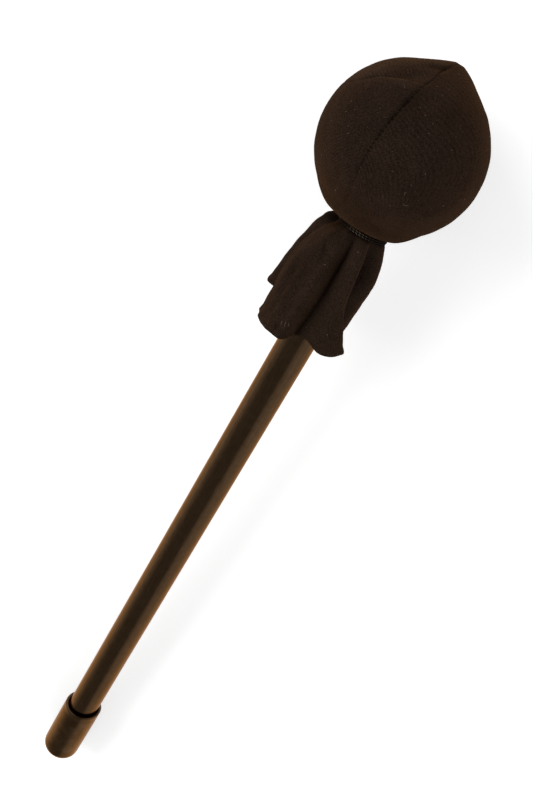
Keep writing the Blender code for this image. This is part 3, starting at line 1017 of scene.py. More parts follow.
@dataclass(frozen=True)
class Skirt:
    """Gathered cloth below the tie, as valleys and ridges in turn, in millimetres and degrees.

    puffs holds azimuth, height and tightness of each. marks holds fold phase, depth, width in phase,
    length, slant in phase per millimetre, darkness and dent of each place of painted shade in the
    folds, hollows and a pit. loosens holds the depths between which the cloth comes to hang loose.
    """

    stations: tuple = (0.0, 1.6, 4.0, 11.0, 23.0, 34.0, 45.0)
    azimuth_stations: tuple = (0.0, 23.0, 40.0)
    valley_round: float = 0.30
    steepness: float = 2.4
    hollow_depth: float = 5.0
    hollow_fall: float = 1.5
    loosens: tuple = (3.0, 20.0)
    ripple: float = 0.22
    crinkle: float = 0.12
    puffs: tuple = ((-103.0, 1.2, 30.0), (95.0, 0.5, 6.0), (10.0, 0.4, 1.0))
    puff_depth: float = 0.8
    # Each mark is painted shade: the notch under the ball, the hollow behind the pleat, valleys, a pit
    # and a broad darkening on the left.
    marks: tuple = (
        (12.0, 1.8, 1.1, 2.3, 0.0, 0.95, 0.0), (13.1, 0.9, 0.9, 2.0, 0.0, 0.8, 0.0),
        (4.1, 10.0, 0.60, 7.5, 0.0, 0.42, 0.0), (2.0, 13.0, 0.35, 5.0, 0.0, 0.12, 0.0),
        (0.42, 8.3, 0.16, 2.6, 0.145, 0.35, 0.35), (0.61, 39.6, 0.10, 0.7, 0.0, 0.85, 0.0),
        (13.0, 24.0, 0.9, 20.0, 0.0, 0.24, 0.0), (11.3, 20.0, 0.6, 22.0, 0.0, 0.15, 0.0),
        (13.4, 7.5, 0.9, 5.0, 0.0, 0.22, 0.0), (0.0, 22.0, 0.42, 13.0, 0.0, 0.22, 0.0),
    )
    folds: tuple = (
        Fold((-40, -46, -50), (8.2, 9.6, 12.0, 14.3, 15.9, 15.9, 15.7)),
        Fold((-22, -24, -26), (8.2, 9.8, 11.8, 14.0, 14.9, 15.0, 14.8)),
        Fold((-4, -4, -10), (8.2, 8.2, 8.3, 8.5, 8.9, 9.5, 10.6)),
        Fold((19, 34, 67), (8.2, 9.9, 11.6, 13.5, 13.9, 16.6, 18.3)),
        Fold((33, 47, 79), (8.2, 8.2, 8.5, 8.8, 9.2, 10.0, 11.0)),
        Fold((72, 84, 102), (8.2, 9.5, 10.75, 12.6, 12.6, 12.0, 11.8)),
        Fold((104, 110, 120), (8.2, 8.5, 9.3, 10.2, 10.6, 10.8, 11.2)),
        Fold((134, 138, 141), (8.2, 9.9, 11.8, 13.8, 14.2, 14.2, 14.2)),
        Fold((165, 165, 165), (8.2, 8.3, 8.9, 9.7, 10.2, 10.5, 11.0)),
        Fold((195, 196, 196), (8.2, 10.0, 12.0, 14.2, 15.0, 15.4, 15.6)),
        Fold((225, 226, 227), (8.2, 8.6, 9.6, 11.0, 12.2, 12.8, 13.2)),
        Fold((252, 254, 256), (8.2, 12.9, 14.9, 17.0, 19.5, 20.4, 20.3)),
        Fold((266, 267, 268), (8.2, 8.6, 10.8, 14.6, 16.6, 16.7, 16.5)),
        Fold((280, 281, 282), (8.2, 8.5, 10.4, 14.7, 16.9, 16.9, 16.3)),
    )

    def line(self, index: int, depth: Array) -> tuple:
        """Azimuth and radius of one valley or ridge at depths below the neck.

        Args:
            index: Its fold count, which may pass the last fold.
            depth: Distance below the neck.

        Returns:
            Azimuth and radius.
        """
        fold = self.folds[index % len(self.folds)]
        turns = TURN * (index // len(self.folds))
        azimuth = np.radians(smooth_through(self.azimuth_stations, fold.azimuths, depth)) + turns
        return azimuth, smooth_through(self.stations, fold.radii, depth)

    def place(self, phase: Array, depth: Array) -> tuple:
        """Azimuth and radius of the cloth.

        Phase counts folds round the handle, even at a valley and odd at a ridge. With s the share of
        the way from a valley to a ridge, u is the root of (s squared plus w squared) less w, which
        rounds the valley, and the rise is 1 less (1 less u) to the power of the steepness, which
        makes the valleys narrow and the ridges broad. The hollow is the depth of the valley below its
        ridge, as a share of hollow_depth, times (1 - s) to the power of hollow_fall.

        Args:
            phase: Fold count at each point.
            depth: Distance below the neck.

        Returns:
            Azimuth, radius, and how hollow the place is, from 0 on a ridge to 1 in a deep valley.
        """
        azimuth, radius, hollow = np.zeros((3, *phase.shape))
        w = self.valley_round
        for index in range(len(self.folds)):
            share = phase - index
            inside = (share >= 0.0) & (share <= 1.0)
            a0, r0 = self.line(index, depth)
            a1, r1 = self.line(index + 1, depth)
            from_valley = np.clip(share if index % 2 == 0 else 1.0 - share, 0.0, 1.0)
            u = (np.sqrt(from_valley ** 2 + w ** 2) - w) / (math.sqrt(1.0 + w ** 2) - w)
            rise = 1.0 - (1.0 - u) ** self.steepness
            valley, ridge = (r0, r1) if index % 2 == 0 else (r1, r0)
            azimuth = np.where(inside, a0 + (a1 - a0) * share, azimuth)
            radius = np.where(inside, valley + (ridge - valley) * rise, radius)
            drop = (ridge - valley) * (1.0 - from_valley) ** self.hollow_fall
            hollow = np.where(inside, np.clip(drop / self.hollow_depth, 0.0, 1.0), hollow)
        return azimuth, radius, hollow

    def mark(self, phase: Array, depth: Array) -> tuple:
        """Painted shade on the cloth in its folds and hollows: each a bell across the folds times a
        bell down them.

        Args:
            phase: Fold count at each point.
            depth: Distance below the neck.

        Returns:
            How much painted shade each place has, from 0 to 1, and how far it is pressed in.
        """
        dark, dent = np.zeros((2, *depth.shape))
        half = len(self.folds) / 2
        for at, middle, width, length, slant, shade, press in self.marks:
            aside = np.mod(phase - at - slant * (depth - middle) + half, 2 * half) - half
            near = bell(aside, 0.0, width) * bell(depth, middle, length)
            dark, dent = dark + shade * near, dent + press * near
        return np.clip(dark, 0.0, 1.0), dent

    def puff(self, azimuth: Array, depth: Array) -> Array:
        """Height by which the cloth wells up over the cord before it falls.

        Round the handle it is a sum of bells e to the (tightness times (cosine less 1)), and down
        the skirt it is x e to the (1 - x), where x is the depth in units of puff_depth.

        Args:
            azimuth: Azimuth of each point.
            depth: Distance below the neck.

        Returns:
            Height in millimetres.
        """
        total = np.zeros(azimuth.shape)
        for centre, height, tightness in self.puffs:
            total = total + height * np.exp(tightness * (np.cos(azimuth - radians(centre)) - 1.0))
        x = depth / self.puff_depth
        return total * x * np.exp(1.0 - x)

    def unevenness(self, azimuth: Array, depth: Array) -> Array:
        """How far the loose cloth stands out: a slow and a fine product of two slanted waves.

        Args:
            azimuth: Azimuth of each point.
            depth: Distance below the neck.

        Returns:
            Distance outwards in millimetres.
        """
        slow = np.sin(5.0 * azimuth + 0.16 * depth) * np.sin(11.0 * azimuth - 0.1 * depth + 1.0)
        fine = np.sin(23.0 * azimuth + 0.35 * depth) * np.sin(0.5 * depth + 3.0 * azimuth)
        return ease(*self.loosens, depth) * (self.ripple * slow + self.crinkle * fine)


@dataclass(frozen=True)
class Neck:
    """Waist of the cloth under the cord."""

    radius: float = 8.2
    top: float = -26.0
    shoulder: float = 10.6
    base: float = -28.2


@dataclass(frozen=True)
class Gore:
    """One of the three cut pieces of knit, between two seams and two valleys of the skirt."""

    node: str
    start: Seam
    end: Seam
    first_fold: int
    last_fold: int
    hem: tuple
    columns: int
    flat: tuple
    area: float
    fade: float
    end_turns: int = 0


@dataclass(frozen=True)
class Patch:
    """A painted highlight on the ball's cloth, or a painted shade where amount is below 0.

    It is a bell of a spread round an angle from the crown, times a bell of a width in millimetres
    aside of a seam. With turns 1 it lies at the end of the gore that comes round to that seam.
    """

    seam: Seam
    angle: float
    spread: float
    aside: float
    width: float
    amount: float
    turns: int = 0


@dataclass(frozen=True)
class Columns:
    """Columns of a gore, from seam to seam.

    share is the way across, under the depth below the surface, phase the place in the folds, gathers
    how far each is drawn in at the neck, and inward the azimuth that keeps the gores apart there.
    """

    share: Array
    under: Array
    phase: Array
    gathers: Array
    inward: Array


@dataclass
class Cover:
    """The sewn knit cover: three gores with turned-in seam edges, and the stitches of the seams."""

    ball: Ball = field(default_factory=Ball)
    skirt: Skirt = field(default_factory=Skirt)
    neck: Neck = field(default_factory=Neck)
    thickness: float = 1.0
    seam_gap: float = 0.10
    roll_width: float = 0.80
    stitch_pitch: float = 2.25
    stitch_width: float = 0.42
    stitch_height: float = 0.20
    thread_radius: float = 0.10
    stitches_to: float = radians(100.0)
    allowance: tuple = (0.5, 1.2, 2.0)
    crowding: float = 0.55
    gather_depth: float = 0.35
    hem_curl: float = 0.5
    curl_length: float = 2.2
    ball_rows: int = 210
    underside_rows: int = 12
    neck_rows: int = 6
    skirt_rows: int = 62
    grain_angle: float = radians(38.0)
    # Painted shade taken off the fade at the crown, in the crease of the back gore and under the chin.
    crown_shade: float = 0.22
    crease_shade: float = 0.45
    chin_shade: float = 0.30
    skirt_fade: float = 0.90
    hollow_shade: float = 0.30
    # Painted shade on the cloth under the cord.
    neck_shade: float = 0.1
    seam_wave: float = 8.7
    # Painted highlight on the puffed crest beside the left seam; painted shade beside the right seam,
    # beside the front seam near the crown and in the dip of the back gore beside the left seam.
    patches: tuple = (
        Patch(Ball.seam_left, radians(20.0), radians(16.0), 1.6, 2.4, 0.25),
        Patch(Ball.seam_right, radians(17.0), radians(15.0), 1.2, 2.0, -0.32),
        Patch(Ball.seam_front, radians(15.0), 0.22, 0.6, 1.9, -0.20),
        Patch(Ball.seam_left, radians(14.0), 0.2, -2.0, 2.2, -0.42, 1),
    )
    hem_right: tuple = (
        (0.0, 42.8), (0.8, 42.5), (1.4, 42.0), (1.8, 40.8), (2.1, 39.1), (2.35, 38.4),
        (2.5, 39.7), (2.75, 39.1), (3.0, 37.7), (4.0, 37.2), (5.0, 37.6), (6.0, 37.5),
    )
    hem_back: tuple = (
        (6.0, 37.5), (7.0, 38.0), (8.0, 38.0), (9.0, 37.0), (10.0, 34.8), (11.0, 32.3),
        (11.5, 33.0), (12.0, 32.6),
    )
    hem_left: tuple = ((12.0, 41.8), (13.0, 42.2), (13.7, 43.0), (14.0, 42.8))

    def gores(self) -> tuple:
        """The three gores in order round the handle.

        Returns:
            The gores.
        """
        b = self.ball
        return (
            Gore("cover_panel_right", b.seam_front, b.seam_right, 0, 6, self.hem_right, 126,
                 (0.076, 0.123), 0.00565, 0.76),
            Gore("cover_panel_back", b.seam_right, b.seam_left, 6, 12, self.hem_back, 126,
                 (0.065, 0.142), 0.0059, 0.95, 1),
            Gore("cover_panel_left", b.seam_left, b.seam_front, 12, 14, self.hem_left, 60,
                 (0.057, 0.122), 0.0031, 0.72),
        )

    def seam_depth(self, seam: Seam, theta: Array) -> Array:
        """Depth of a seam without its stitches: the crown's value eased to the waist's, and uneven.

        Args:
            seam: The seam.
            theta: Angle of each ring.

        Returns:
            Depth in millimetres.
        """
        eased = seam.near_crown + (seam.at_waist - seam.near_crown) * ease(0.55, 1.3, theta)
        eased = eased * (seam.at_crown + (1.0 - seam.at_crown) * ease(0.1, 0.52, theta))
        along = self.ball.radius * theta
        return eased * (1.0 + 0.5 * np.sin(TURN * along / self.seam_wave + 1.0))

    def seam_edge(self, seam: Seam, theta: Array, to_edge: Array) -> Array:
        """Depth of the rolled edge beside a seam: a bell across, deeper at each stitch along it.

        Args:
            seam: The seam.
            theta: Angle of each ring.
            to_edge: Distance from the seam in millimetres.

        Returns:
            Depth in millimetres.
        """
        pull = 0.5 + 0.5 * np.cos(TURN * self.ball.radius * theta / self.stitch_pitch)
        roll = bell(to_edge, 0.0, self.roll_width)
        dips = seam.stitches * pull ** 2 * bell(to_edge, 0.0, 0.8 * self.roll_width)
        return self.seam_depth(seam, theta) * (roll + dips)

    def fade_and_painted_light(self, gore: Gore, theta: Array, phi: Array) -> Array:
        """How faded the cloth is on the ball, with painted light in it: the gore's own value, a
        painted highlight on the puffed edge, painted shade at the crown, beside the seams there, in
        the crease of the back gore and under the chin, and darker round the ring 30 degrees from the
        crown except on most of the back gore.

        Args:
            gore: The gore.
            theta: Angle of each ring.
            phi: Azimuth on the ring.

        Returns:
            A share from 0 to 1.
        """
        across = self.ball.radius * np.sin(theta)
        fade = gore.fade - self.crease_shade * self.ball.crease(theta, phi)
        fade = fade - self.crown_shade * bell(theta, 0.0, 0.12)
        # Darker round the ring 30 degrees from the crown, except on most of the back gore.
        fade = fade - 0.10 * bell(theta, radians(30.0), 0.4) * (phi < 3.0)
        for patch in self.patches:
            line = self.ball.seam(patch.seam, theta) + TURN * patch.turns * gore.end_turns
            beside = bell(across * (phi - line), patch.aside, patch.width)
            # Each patch adds a painted highlight or, below 0, a painted shade.
            fade = fade + patch.amount * bell(theta, patch.angle, patch.spread) * beside
        chin = 1.0 - self.chin_shade * ease(radians(112.0), radians(146.0), theta)
        return np.clip(fade * chin, 0.0, 1.0)

    def slackness(self, theta: Array, phi: Array) -> Array:
        """Faint unevenness of the stuffing under the cloth, as a sum of three slow waves.

        Args:
            theta: Angle of each ring.
            phi: Azimuth on the ring.

        Returns:
            Height in millimetres.
        """
        x, y, z = np.moveaxis(self.ball.direction(theta, phi), -1, 0)
        waves = np.sin(7.0 * x + 3.0 * z + 0.4) * np.sin(6.0 * y - 2.0 * z + 1.1)
        waves = waves + 0.5 * np.sin(13.0 * z - 4.0 * y) * np.sin(11.0 * x + 2.0)
        return 0.09 * waves + 0.04 * np.sin(23.0 * y + 9.0 * x) * np.sin(19.0 * z + 5.0 * x)

    def columns(self, gore: Gore) -> Columns:
        """Columns of a gore. The main ones run across it, a little closer together at the seams. On
        each side a few more run in under the seam, each deeper below the surface.

        Args:
            gore: The gore.

        Returns:
            Its columns.
        """
        main = np.linspace(0.0, 1.0, gore.columns + 1)
        main = main + self.crowding * (0.5 - 0.5 * np.cos(math.pi * main) - main)
        under = np.array(self.allowance)
        share = np.concatenate([np.zeros(under.size), main, np.ones(under.size)])
        phase = gore.first_fold + (gore.last_fold - gore.first_fold) * share
        return Columns(share=share, phase=phase,
                       under=np.concatenate([under[::-1], np.zeros(main.size), under]),
                       gathers=self.gather_depth * np.cos(math.pi * phase),
                       inward=0.2 * self.seam_gap / self.neck.radius * (1.0 - 2.0 * share))

    def over_ball(self, gore: Gore, columns: Columns) -> tuple:
        """Points and wear of a gore on the ball's rings, with its edges rolled in at the seams and
        painted shade in their grooves.

        Args:
            gore: The gore.
            columns: Its columns.

        Returns:
            Points and wear.
        """
        theta = np.radians(np.linspace(0.35, 150.0, self.ball_rows))[:, None]
        start = self.ball.seam(gore.start, theta)
        end = self.ball.seam(gore.end, theta) + TURN * gore.end_turns
        across = self.ball.radius * np.sin(theta)
        gap = self.seam_gap * (1.0 - 0.6 * ease(1.2, 1.9, theta))
        inset = np.minimum(gap / 2 / across, 0.4)
        phi = start + inset + (end - start - 2 * inset) * columns.share
        rolled = self.seam_edge(gore.start, theta, (phi - start) * across)
        rolled = rolled + self.seam_edge(gore.end, theta, (end - phi) * across)
        height = self.ball.relief(theta, phi) - rolled + self.slackness(theta, phi)
        points = self.ball.point(theta, phi, self.ball.radius + height - columns.under)
        # The wear falls where the edges roll in: painted shade in the seam grooves.
        return points, self.fade_and_painted_light(gore, theta, phi) * (1.0 - np.clip(rolled, 0.0, 0.75))

    def round_neck(self, gore: Gore, columns: Columns, edge: Array) -> tuple:
        """Points and wear of a gore under the ball and under the cord, where the wear is painted shade
        that darkens towards the neck.

        Each column bends from the edge of the ball towards the shoulder and so to the neck.

        Args:
            gore: The gore.
            columns: Its columns.
            edge: The lowest row of points on the ball.

        Returns:
            Points and wear.
        """
        azimuth = self.skirt.place(columns.phase, np.zeros_like(columns.phase))[0] + columns.inward
        pressed = self.neck.radius - columns.gathers - 0.4 * columns.under
        shoulder = around(self.neck.shoulder, azimuth, self.neck.top)
        step = np.linspace(0.0, 1.0, self.underside_rows + 1)[1:, None]
        underside = bend(edge, shoulder, around(pressed, azimuth, self.neck.top), step[..., None])
        heights = np.linspace(self.neck.top, self.neck.base, self.neck_rows + 2)[1:-1, None]
        neck = around(pressed, azimuth, heights)
        # Painted shade under the ball, darker towards the neck, and darker still under the cord.
        shaded_under = (0.7 * gore.fade * (1.0 - step ** 4) + 0.2 * step ** 4) * np.ones_like(azimuth)
        shaded_neck = np.full(neck.shape[:2], self.neck_shade)
        return np.concatenate([underside, neck]), np.concatenate([shaded_under, shaded_neck])

    def down_skirt(self, gore: Gore, columns: Columns) -> tuple:
        """Points and wear of a gore from the cord along the folds down to its curled hem, with painted
        shade in the valleys, just below the cord and at the marks.

        Args:
            gore: The gore.
            columns: Its columns.

        Returns:
            Points and wear.
        """
        lengths = smooth_through(*zip(*gore.hem), columns.phase)
        depth = np.linspace(0.0, 1.0, self.skirt_rows)[:, None] ** 1.25 * lengths
        azimuth, radius, hollow = self.skirt.place(columns.phase, depth)
        curl = self.hem_curl * ease(lengths - self.curl_length, lengths, depth)
        gathered = columns.gathers * (1.0 - ease(0.0, 3.0, depth))
        dark, dent = self.skirt.mark(columns.phase, depth)
        radius = radius + self.skirt.unevenness(azimuth, depth) + curl
        radius = radius - gathered - dent - 0.5 * columns.under
        height = self.neck.base - depth + self.skirt.puff(azimuth, depth)
        points = around(radius, azimuth + columns.inward * (1.0 - ease(1.0, 6.0, depth)), height)
        # Painted shade in the deep valleys of the folds.
        worn = self.skirt_fade - self.hollow_shade * hollow * ease(1.0, 14.0, depth)
        # Painted shade just below the cord.
        worn = worn * (0.25 + 0.75 * ease(0.0, 1.3, depth))
        # The marks are painted shade.
        return points, worn * (1.0 - dark)

    def gore_grid(self, gore: Gore) -> tuple:
        """Outside of one gore from the crown over the ball, round the neck and down to the hem.

        Args:
            gore: The gore to make.

        Returns:
            Points in the mallet's frame, the cloth's own coordinates in millimetres, and its wear,
            with the painted shade and painted highlight in it.
        """
        columns = self.columns(gore)
        ball, ball_wear_and_shade = self.over_ball(gore, columns)
        neck, shaded_neck = self.round_neck(gore, columns, ball[-1])
        skirt, skirt_wear_and_shade = self.down_skirt(gore, columns)
        points = np.concatenate([ball, neck, skirt])
        wear = np.concatenate([ball_wear_and_shade, shaded_neck, skirt_wear_and_shade])
        return points, self.cloth_coordinates(points, columns.share), wear

    def cloth_coordinates(self, points: Array, share: Array) -> Array:
        """Place of each point in the flat cloth, so that the wales run down the middle of the gore.

        From the crown the gore is laid out as a fan of half angle grain_angle: across is the
        distance from the crown times the sine of the fan's angle, down times the cosine. Below the
        ball across is the arc length from the middle column.

        Args:
            points: The gore's grid in the mallet's frame.
            share: Place of each column across the gore, from 0 to 1.

        Returns:
            Pattern coordinates in millimetres for each point.
        """
        down, run = run_along(points, 0), run_along(points, 1)
        angle = (share - 0.5) * 2.0 * self.grain_angle
        fan = np.stack([down * np.sin(angle), down * np.cos(angle)], axis=-1)
        middle = run[:, points.shape[1] // 2][:, None]
        straight = np.stack([run - middle, down], axis=-1)
        rows = np.arange(points.shape[0])[:, None, None]
        below = ease(self.ball_rows - 12, self.ball_rows + 14, rows)
        return fan * (1.0 - below) + straight * below

    def build_gore(self, gore: Gore, material: Material) -> Piece:
        """Make one gore as a thick sheet that is flat where the ball rests on the surface.

        Args:
            gore: The gore to make.
            material: The knit.

        Returns:
            The new piece.
        """
        points, uv, wear = self.gore_grid(gore)
        world = FRAME.to_world(points, 0.0)
        piece = add_mesh(gore.node + "_knit", world, grid_quads(*points.shape[:2]), uv, wear)
        piece.data.set_sharp_from_angle(angle=radians(50.0))
        wall = piece.modifiers.new("cloth", "SOLIDIFY")
        wall.thickness = self.thickness * MM
        wall.offset = -1.0
        finish_piece(piece, material, Slot.COVER, gore.node)
        return piece

    def seam_stitches(self, material: Material) -> Piece:
        """Short loops of thread that show in the dips of the front seam, one at each stitch.

        Each loop is a half ring across the seam: its points are the seam's point plus stitch_width
        times the cosine across and stitch_height times the sine outwards.

        Args:
            material: The thread.

        Returns:
            The new piece.
        """
        ball, seam = self.ball, self.ball.seam_front
        last = self.stitches_to * ball.radius / self.stitch_pitch
        theta = np.arange(2.0, last) * self.stitch_pitch / ball.radius
        phi = ball.seam(seam, theta)
        sink = self.seam_depth(seam, theta) * (1.0 + seam.stitches) + self.thread_radius
        seat = ball.point(theta, phi, ball.radius + ball.relief(theta, phi) - sink)
        level = np.full_like(theta, ball.radius)
        aside = ball.point(theta, phi + 0.02, level) - ball.point(theta, phi, level)
        aside = aside / np.linalg.norm(aside, axis=1, keepdims=True)
        turn = np.linspace(-0.1, math.pi + 0.1, 9)[:, None]
        loops = seat[:, None] + aside[:, None] * (self.stitch_width * np.cos(turn))
        loops = loops + ball.direction(theta, phi)[:, None] * (self.stitch_height * np.sin(turn))
        piece = tubes("seam_stitches", list(loops), [self.thread_radius] * len(loops), 6)
        finish_piece(piece, material, Slot.TIE)
        return piece

    def build(self) -> list[Piece]:
        """Make the three gores and the stitches.

        Returns:
            The new pieces.
        """
        knit = KnitFinish().build()
        pieces = [self.build_gore(gore, knit) for gore in self.gores()]
        thread = CordFinish("seam_thread", (0.006, 0.004, 0.003), (0.030, 0.020, 0.014))
        pieces.append(self.seam_stitches(thread.build()))
        return pieces


@dataclass
class TieCord:
    """Twisted cord wound round the neck, its knot underneath and the two cut tails.

    In shares of half the diameter, groove is the cord's radius between two strands and lobe is what
    a strand adds. fibre_turn is the way round the cord in its UV, and trefoil_reach is how far the
    knot's formula reaches before it is scaled.
    """

    neck: Neck = field(default_factory=Neck)
    skirt: Skirt = field(default_factory=Skirt)
    diameter: float = 0.74
    clearance: float = 0.3
    pitch: float = 0.74
    top: float = -26.45
    turns: int = 2
    bedding: float = 0.12
    leaves_at: float = radians(45.0)
    lead_inset: float = 0.6
    lead_bend: float = 0.75
    knot_azimuth: float = radians(165.0)
    knot_width: float = 3.4
    knot_depth: float = 2.2
    knot_height: float = 3.6
    trefoil_reach: float = 2.6
    tail_length: float = 10.0
    tail_in_knot: float = 0.9
    tail_start: float = radians(4.5)
    tail_spread: float = radians(16.0)
    tail_folds: tuple = (7.0, 9.0)
    strands: int = 3
    lay: float = 3.5
    groove: float = 0.60
    lobe: float = 0.44
    fibre_turn: float = 3.5
    end_taper: float = 0.35
    # Azimuth where the painted highlight on the cord is strongest.
    highlight_at: float = radians(-6.0)
    sides: int = 24

    def twisted(self, name: str, path: Array, spacing: float = 0.12) -> Piece:
        """Twisted cord along a path.

        The cross-section is a ring whose radius falls by a third in the grooves between strands,
        and the grooves turn once round the cord in each lay length.

        Args:
            name: Name of the piece.
            path: Points of the centre line.
            spacing: Distance between rings.

        Returns:
            The new piece.
        """
        leg = run_along(path)
        count = max(int(leg[-1] / spacing), 8)
        at = np.linspace(0.0, leg[-1], count)
        line = np.stack([smooth_through(leg, part, at) for part in path.T], axis=1)
        angle = np.linspace(0.0, TURN, self.sides + 1)
        lobes = np.abs(np.cos(self.strands / 2 * (angle - TURN * at[:, None] / self.lay)))
        taper = np.sqrt(np.clip(np.minimum(at, at[-1] - at) / self.end_taper, 0.0, 1.0))
        radius = self.diameter / 2 * (self.groove + self.lobe * lobes)
        radius = radius * (0.05 + 0.95 * taper[:, None])
        ring = rings(line, angle)
        turn = self.fibre_turn * (angle / TURN - at[:, None] / self.lay)
        uv = np.stack(np.broadcast_arrays(turn, at[:, None]), axis=-1)
        quads = grid_quads(count, self.sides + 1)[:, ::-1]
        world = FRAME.to_world(line[:, None] + ring * radius[..., None])
        piece = add_mesh(name, world, quads, uv, self.rubbed(lobes, line, ring))
        merge_touching(piece, 0.000004)
        return piece

    def rubbed(self, lobes: Array, line: Array, ring: Array) -> Array:
        """How pale the cord is painted: a painted highlight on the outer side of its strands' crests,
        most at the front, which faces the viewer.

        Args:
            lobes: Height of the strands round each ring, from 0 to 1.
            line: Centre line, one row a ring.
            ring: Unit vectors from the centre line to the points.

        Returns:
            A share from 0 to 1 for each point.
        """
        azimuth = np.arctan2(line[:, 1], line[:, 0])
        toward_viewer = 0.05 + 0.95 * bell(azimuth, self.highlight_at, radians(32.0))
        toward_viewer = toward_viewer + 0.30 * bell(azimuth, self.highlight_at + 1.0, 0.5)
        away = around(1.0, azimuth, 0.0)
        facing = np.clip(np.sum(ring * away[:, None], axis=-1), 0.0, 1.0)
        return lobes ** 3 * facing ** 2 * toward_viewer[:, None]

    def coil_radius(self) -> float:
        """Radius of the cord's centre line round the neck, with the cord pressed to the cloth."""
        return self.neck.radius + self.diameter / 2 + self.bedding

    def knot_reach(self) -> float:
        """Distance of the knot's middle from the handle's axis."""
        return self.coil_radius() + self.diameter / 2 + self.clearance + self.knot_depth / 2

    def knot_level(self) -> float:
        """Height of the knot's middle."""
        return self.top - self.pitch * self.turns / 2

    def wound_path(self) -> Array:
        """Centre line of the winding: a helix whose two ends bend out to the sides of the knot.

        Returns:
            Points of the centre line.
        """
        angle = np.linspace(0.0, self.turns * TURN - 2 * self.leaves_at, 120)
        azimuth = self.knot_azimuth + self.leaves_at + angle
        helix = around(self.coil_radius(), azimuth, self.top - self.pitch * angle / TURN)
        c, s = math.cos(self.knot_azimuth), math.sin(self.knot_azimuth)
        out, side = np.array([c, s, 0.0]), np.array([-s, c, 0.0])
        share = np.linspace(0.0, 1.0, 9)[1:, None]
        ends = []
        for end, sign in ((helix[0], 1.0), (helix[-1], -1.0)):
            stop = out * self.knot_reach() + side * sign * (self.knot_width / 2 - self.lead_inset)
            stop[2] = end[2]
            tangent = (out - side * sign) / math.sqrt(2)
            corner = end + tangent * float(np.dot(stop - end, tangent)) * self.lead_bend
            corner[2] = end[2]
            ends.append(bend(end, corner, stop, share))
        return np.vstack([ends[0][::-1], helix, ends[1]])

    def knot_path(self) -> Array:
        """Centre line of the drawn knot: a trefoil, squeezed to the knot's three sizes.

        Across is sin t + 2 sin 2t, along cos t - 2 cos 2t and outwards -sin 3t, each scaled.

        Returns:
            Points of the centre line.
        """
        t = np.linspace(0.0, TURN, 120)
        half = (np.array([self.knot_depth, self.knot_width, self.knot_height]) - self.diameter) / 2
        across = (np.sin(t) + 2 * np.sin(2 * t)) / self.trefoil_reach * half[1]
        along = (np.cos(t) - 2 * np.cos(2 * t)) / self.trefoil_reach * half[2]
        radial = self.knot_reach() - np.sin(3 * t) * half[0]
        c, s = math.cos(self.knot_azimuth), math.sin(self.knot_azimuth)
        height = self.knot_level() + along
        return np.stack([radial * c - across * s, radial * s + across * c, height], axis=1)

    def tail_path(self, sign: float) -> Array:
        """Centre line of one cut tail from the knot down over the cloth.

        Args:
            sign: 1 for the right tail and -1 for the left.

        Returns:
            Points of the centre line.
        """
        share = np.linspace(0.0, 1.0, 14)
        azimuth = self.knot_azimuth + sign * (self.tail_start + self.tail_spread * share ** 2)
        top = self.knot_level() - self.knot_height / 2 + self.lead_inset
        height = top - (self.tail_length + self.tail_in_knot) * share
        depth = np.maximum(self.neck.base - height, 0.0)
        phases = np.linspace(*self.tail_folds, 41)[None, :]
        folds, radii, _ = self.skirt.place(phases, depth[:, None])
        close = np.abs(folds - azimuth[:, None]) < radians(7.0)
        over = np.where(close, radii, 0.0).max(axis=1) + self.diameter / 2 + 2 * self.clearance
        return around(np.maximum(over, self.knot_reach()), azimuth, height)

    def build(self) -> list[Piece]:
        """Make the winding, the knot and the tails.

        Returns:
            The new pieces.
        """
        material = CordFinish().build()
        paths = (
            ("tie_cord", "twisted", self.wound_path()),
            ("tie_knot", "drawn", self.knot_path()),
            ("tail_right", "twisted", self.tail_path(1.0)),
            ("tail_left", "twisted", self.tail_path(-1.0)),
        )
        pieces = []
        for node, manner, path in paths:
            piece = self.twisted(f"{node}_{manner}", path)
            finish_piece(piece, material, Slot.TIE, node)
            pieces.append(piece)
        return pieces


@dataclass
class Stuffing:
    """What fills the head: the soft padding, and the firm core, which stays as the model has it."""

    ball: Ball = field(default_factory=Ball)
    inset: float = 3.0
    base: float = -20.5
    lowest: float = 3.1
    core_radius: float = 18.3
    bore_radius: float = 6.9

    def build(self) -> list[Piece]:
        """Make the padding as a shell of revolution between the core and the cloth.

        The outside follows the ball's form less the inset. The inside is the core's sphere and the
        handle's hole, and a flat ring closes the shell at the base.

        Returns:
            The new pieces.
        """
        phi = np.linspace(0.0, TURN, 97)[None, :]
        theta = np.radians(np.linspace(0.2, 143.0, 72))[:, None]
        relief = np.minimum(self.ball.relief(theta, phi), 0.0)
        outside = self.ball.point(theta, phi, self.ball.radius - self.inset + relief)
        outside[..., 2] = np.maximum(outside[..., 2], self.base)
        hole_angle = math.asin(self.bore_radius / self.core_radius)
        polar = np.linspace(math.pi - hole_angle, 0.02, 40)[:, None]
        inside = around(self.core_radius * np.sin(polar), phi, self.core_radius * np.cos(polar))
        hole = around(self.bore_radius, phi, self.base)
        points = np.concatenate([outside, hole, inside])
        world = FRAME.to_world(points, self.lowest)
        padding = add_mesh("padding_felt", world, grid_quads(*points.shape[:2]))
        merge_touching(padding, 0.00002)
        felt = PlainFinish("padding_felt", (0.55, 0.50, 0.42), 0.95, 900.0).build()
        finish_piece(padding, felt, Slot.PADDING, "padding")
        return [padding]

    @staticmethod
    def dress_core(nodes: dict) -> None:
        """Give the model's own core its rubber.

        Args:
            nodes: The model's objects by the names of their nodes.
        """
        core = nodes["core_ball"]
        core.data.materials.clear()
        core.data.materials.append(PlainFinish("core_rubber", (0.10, 0.08, 0.06), 0.7, 500.0).build())


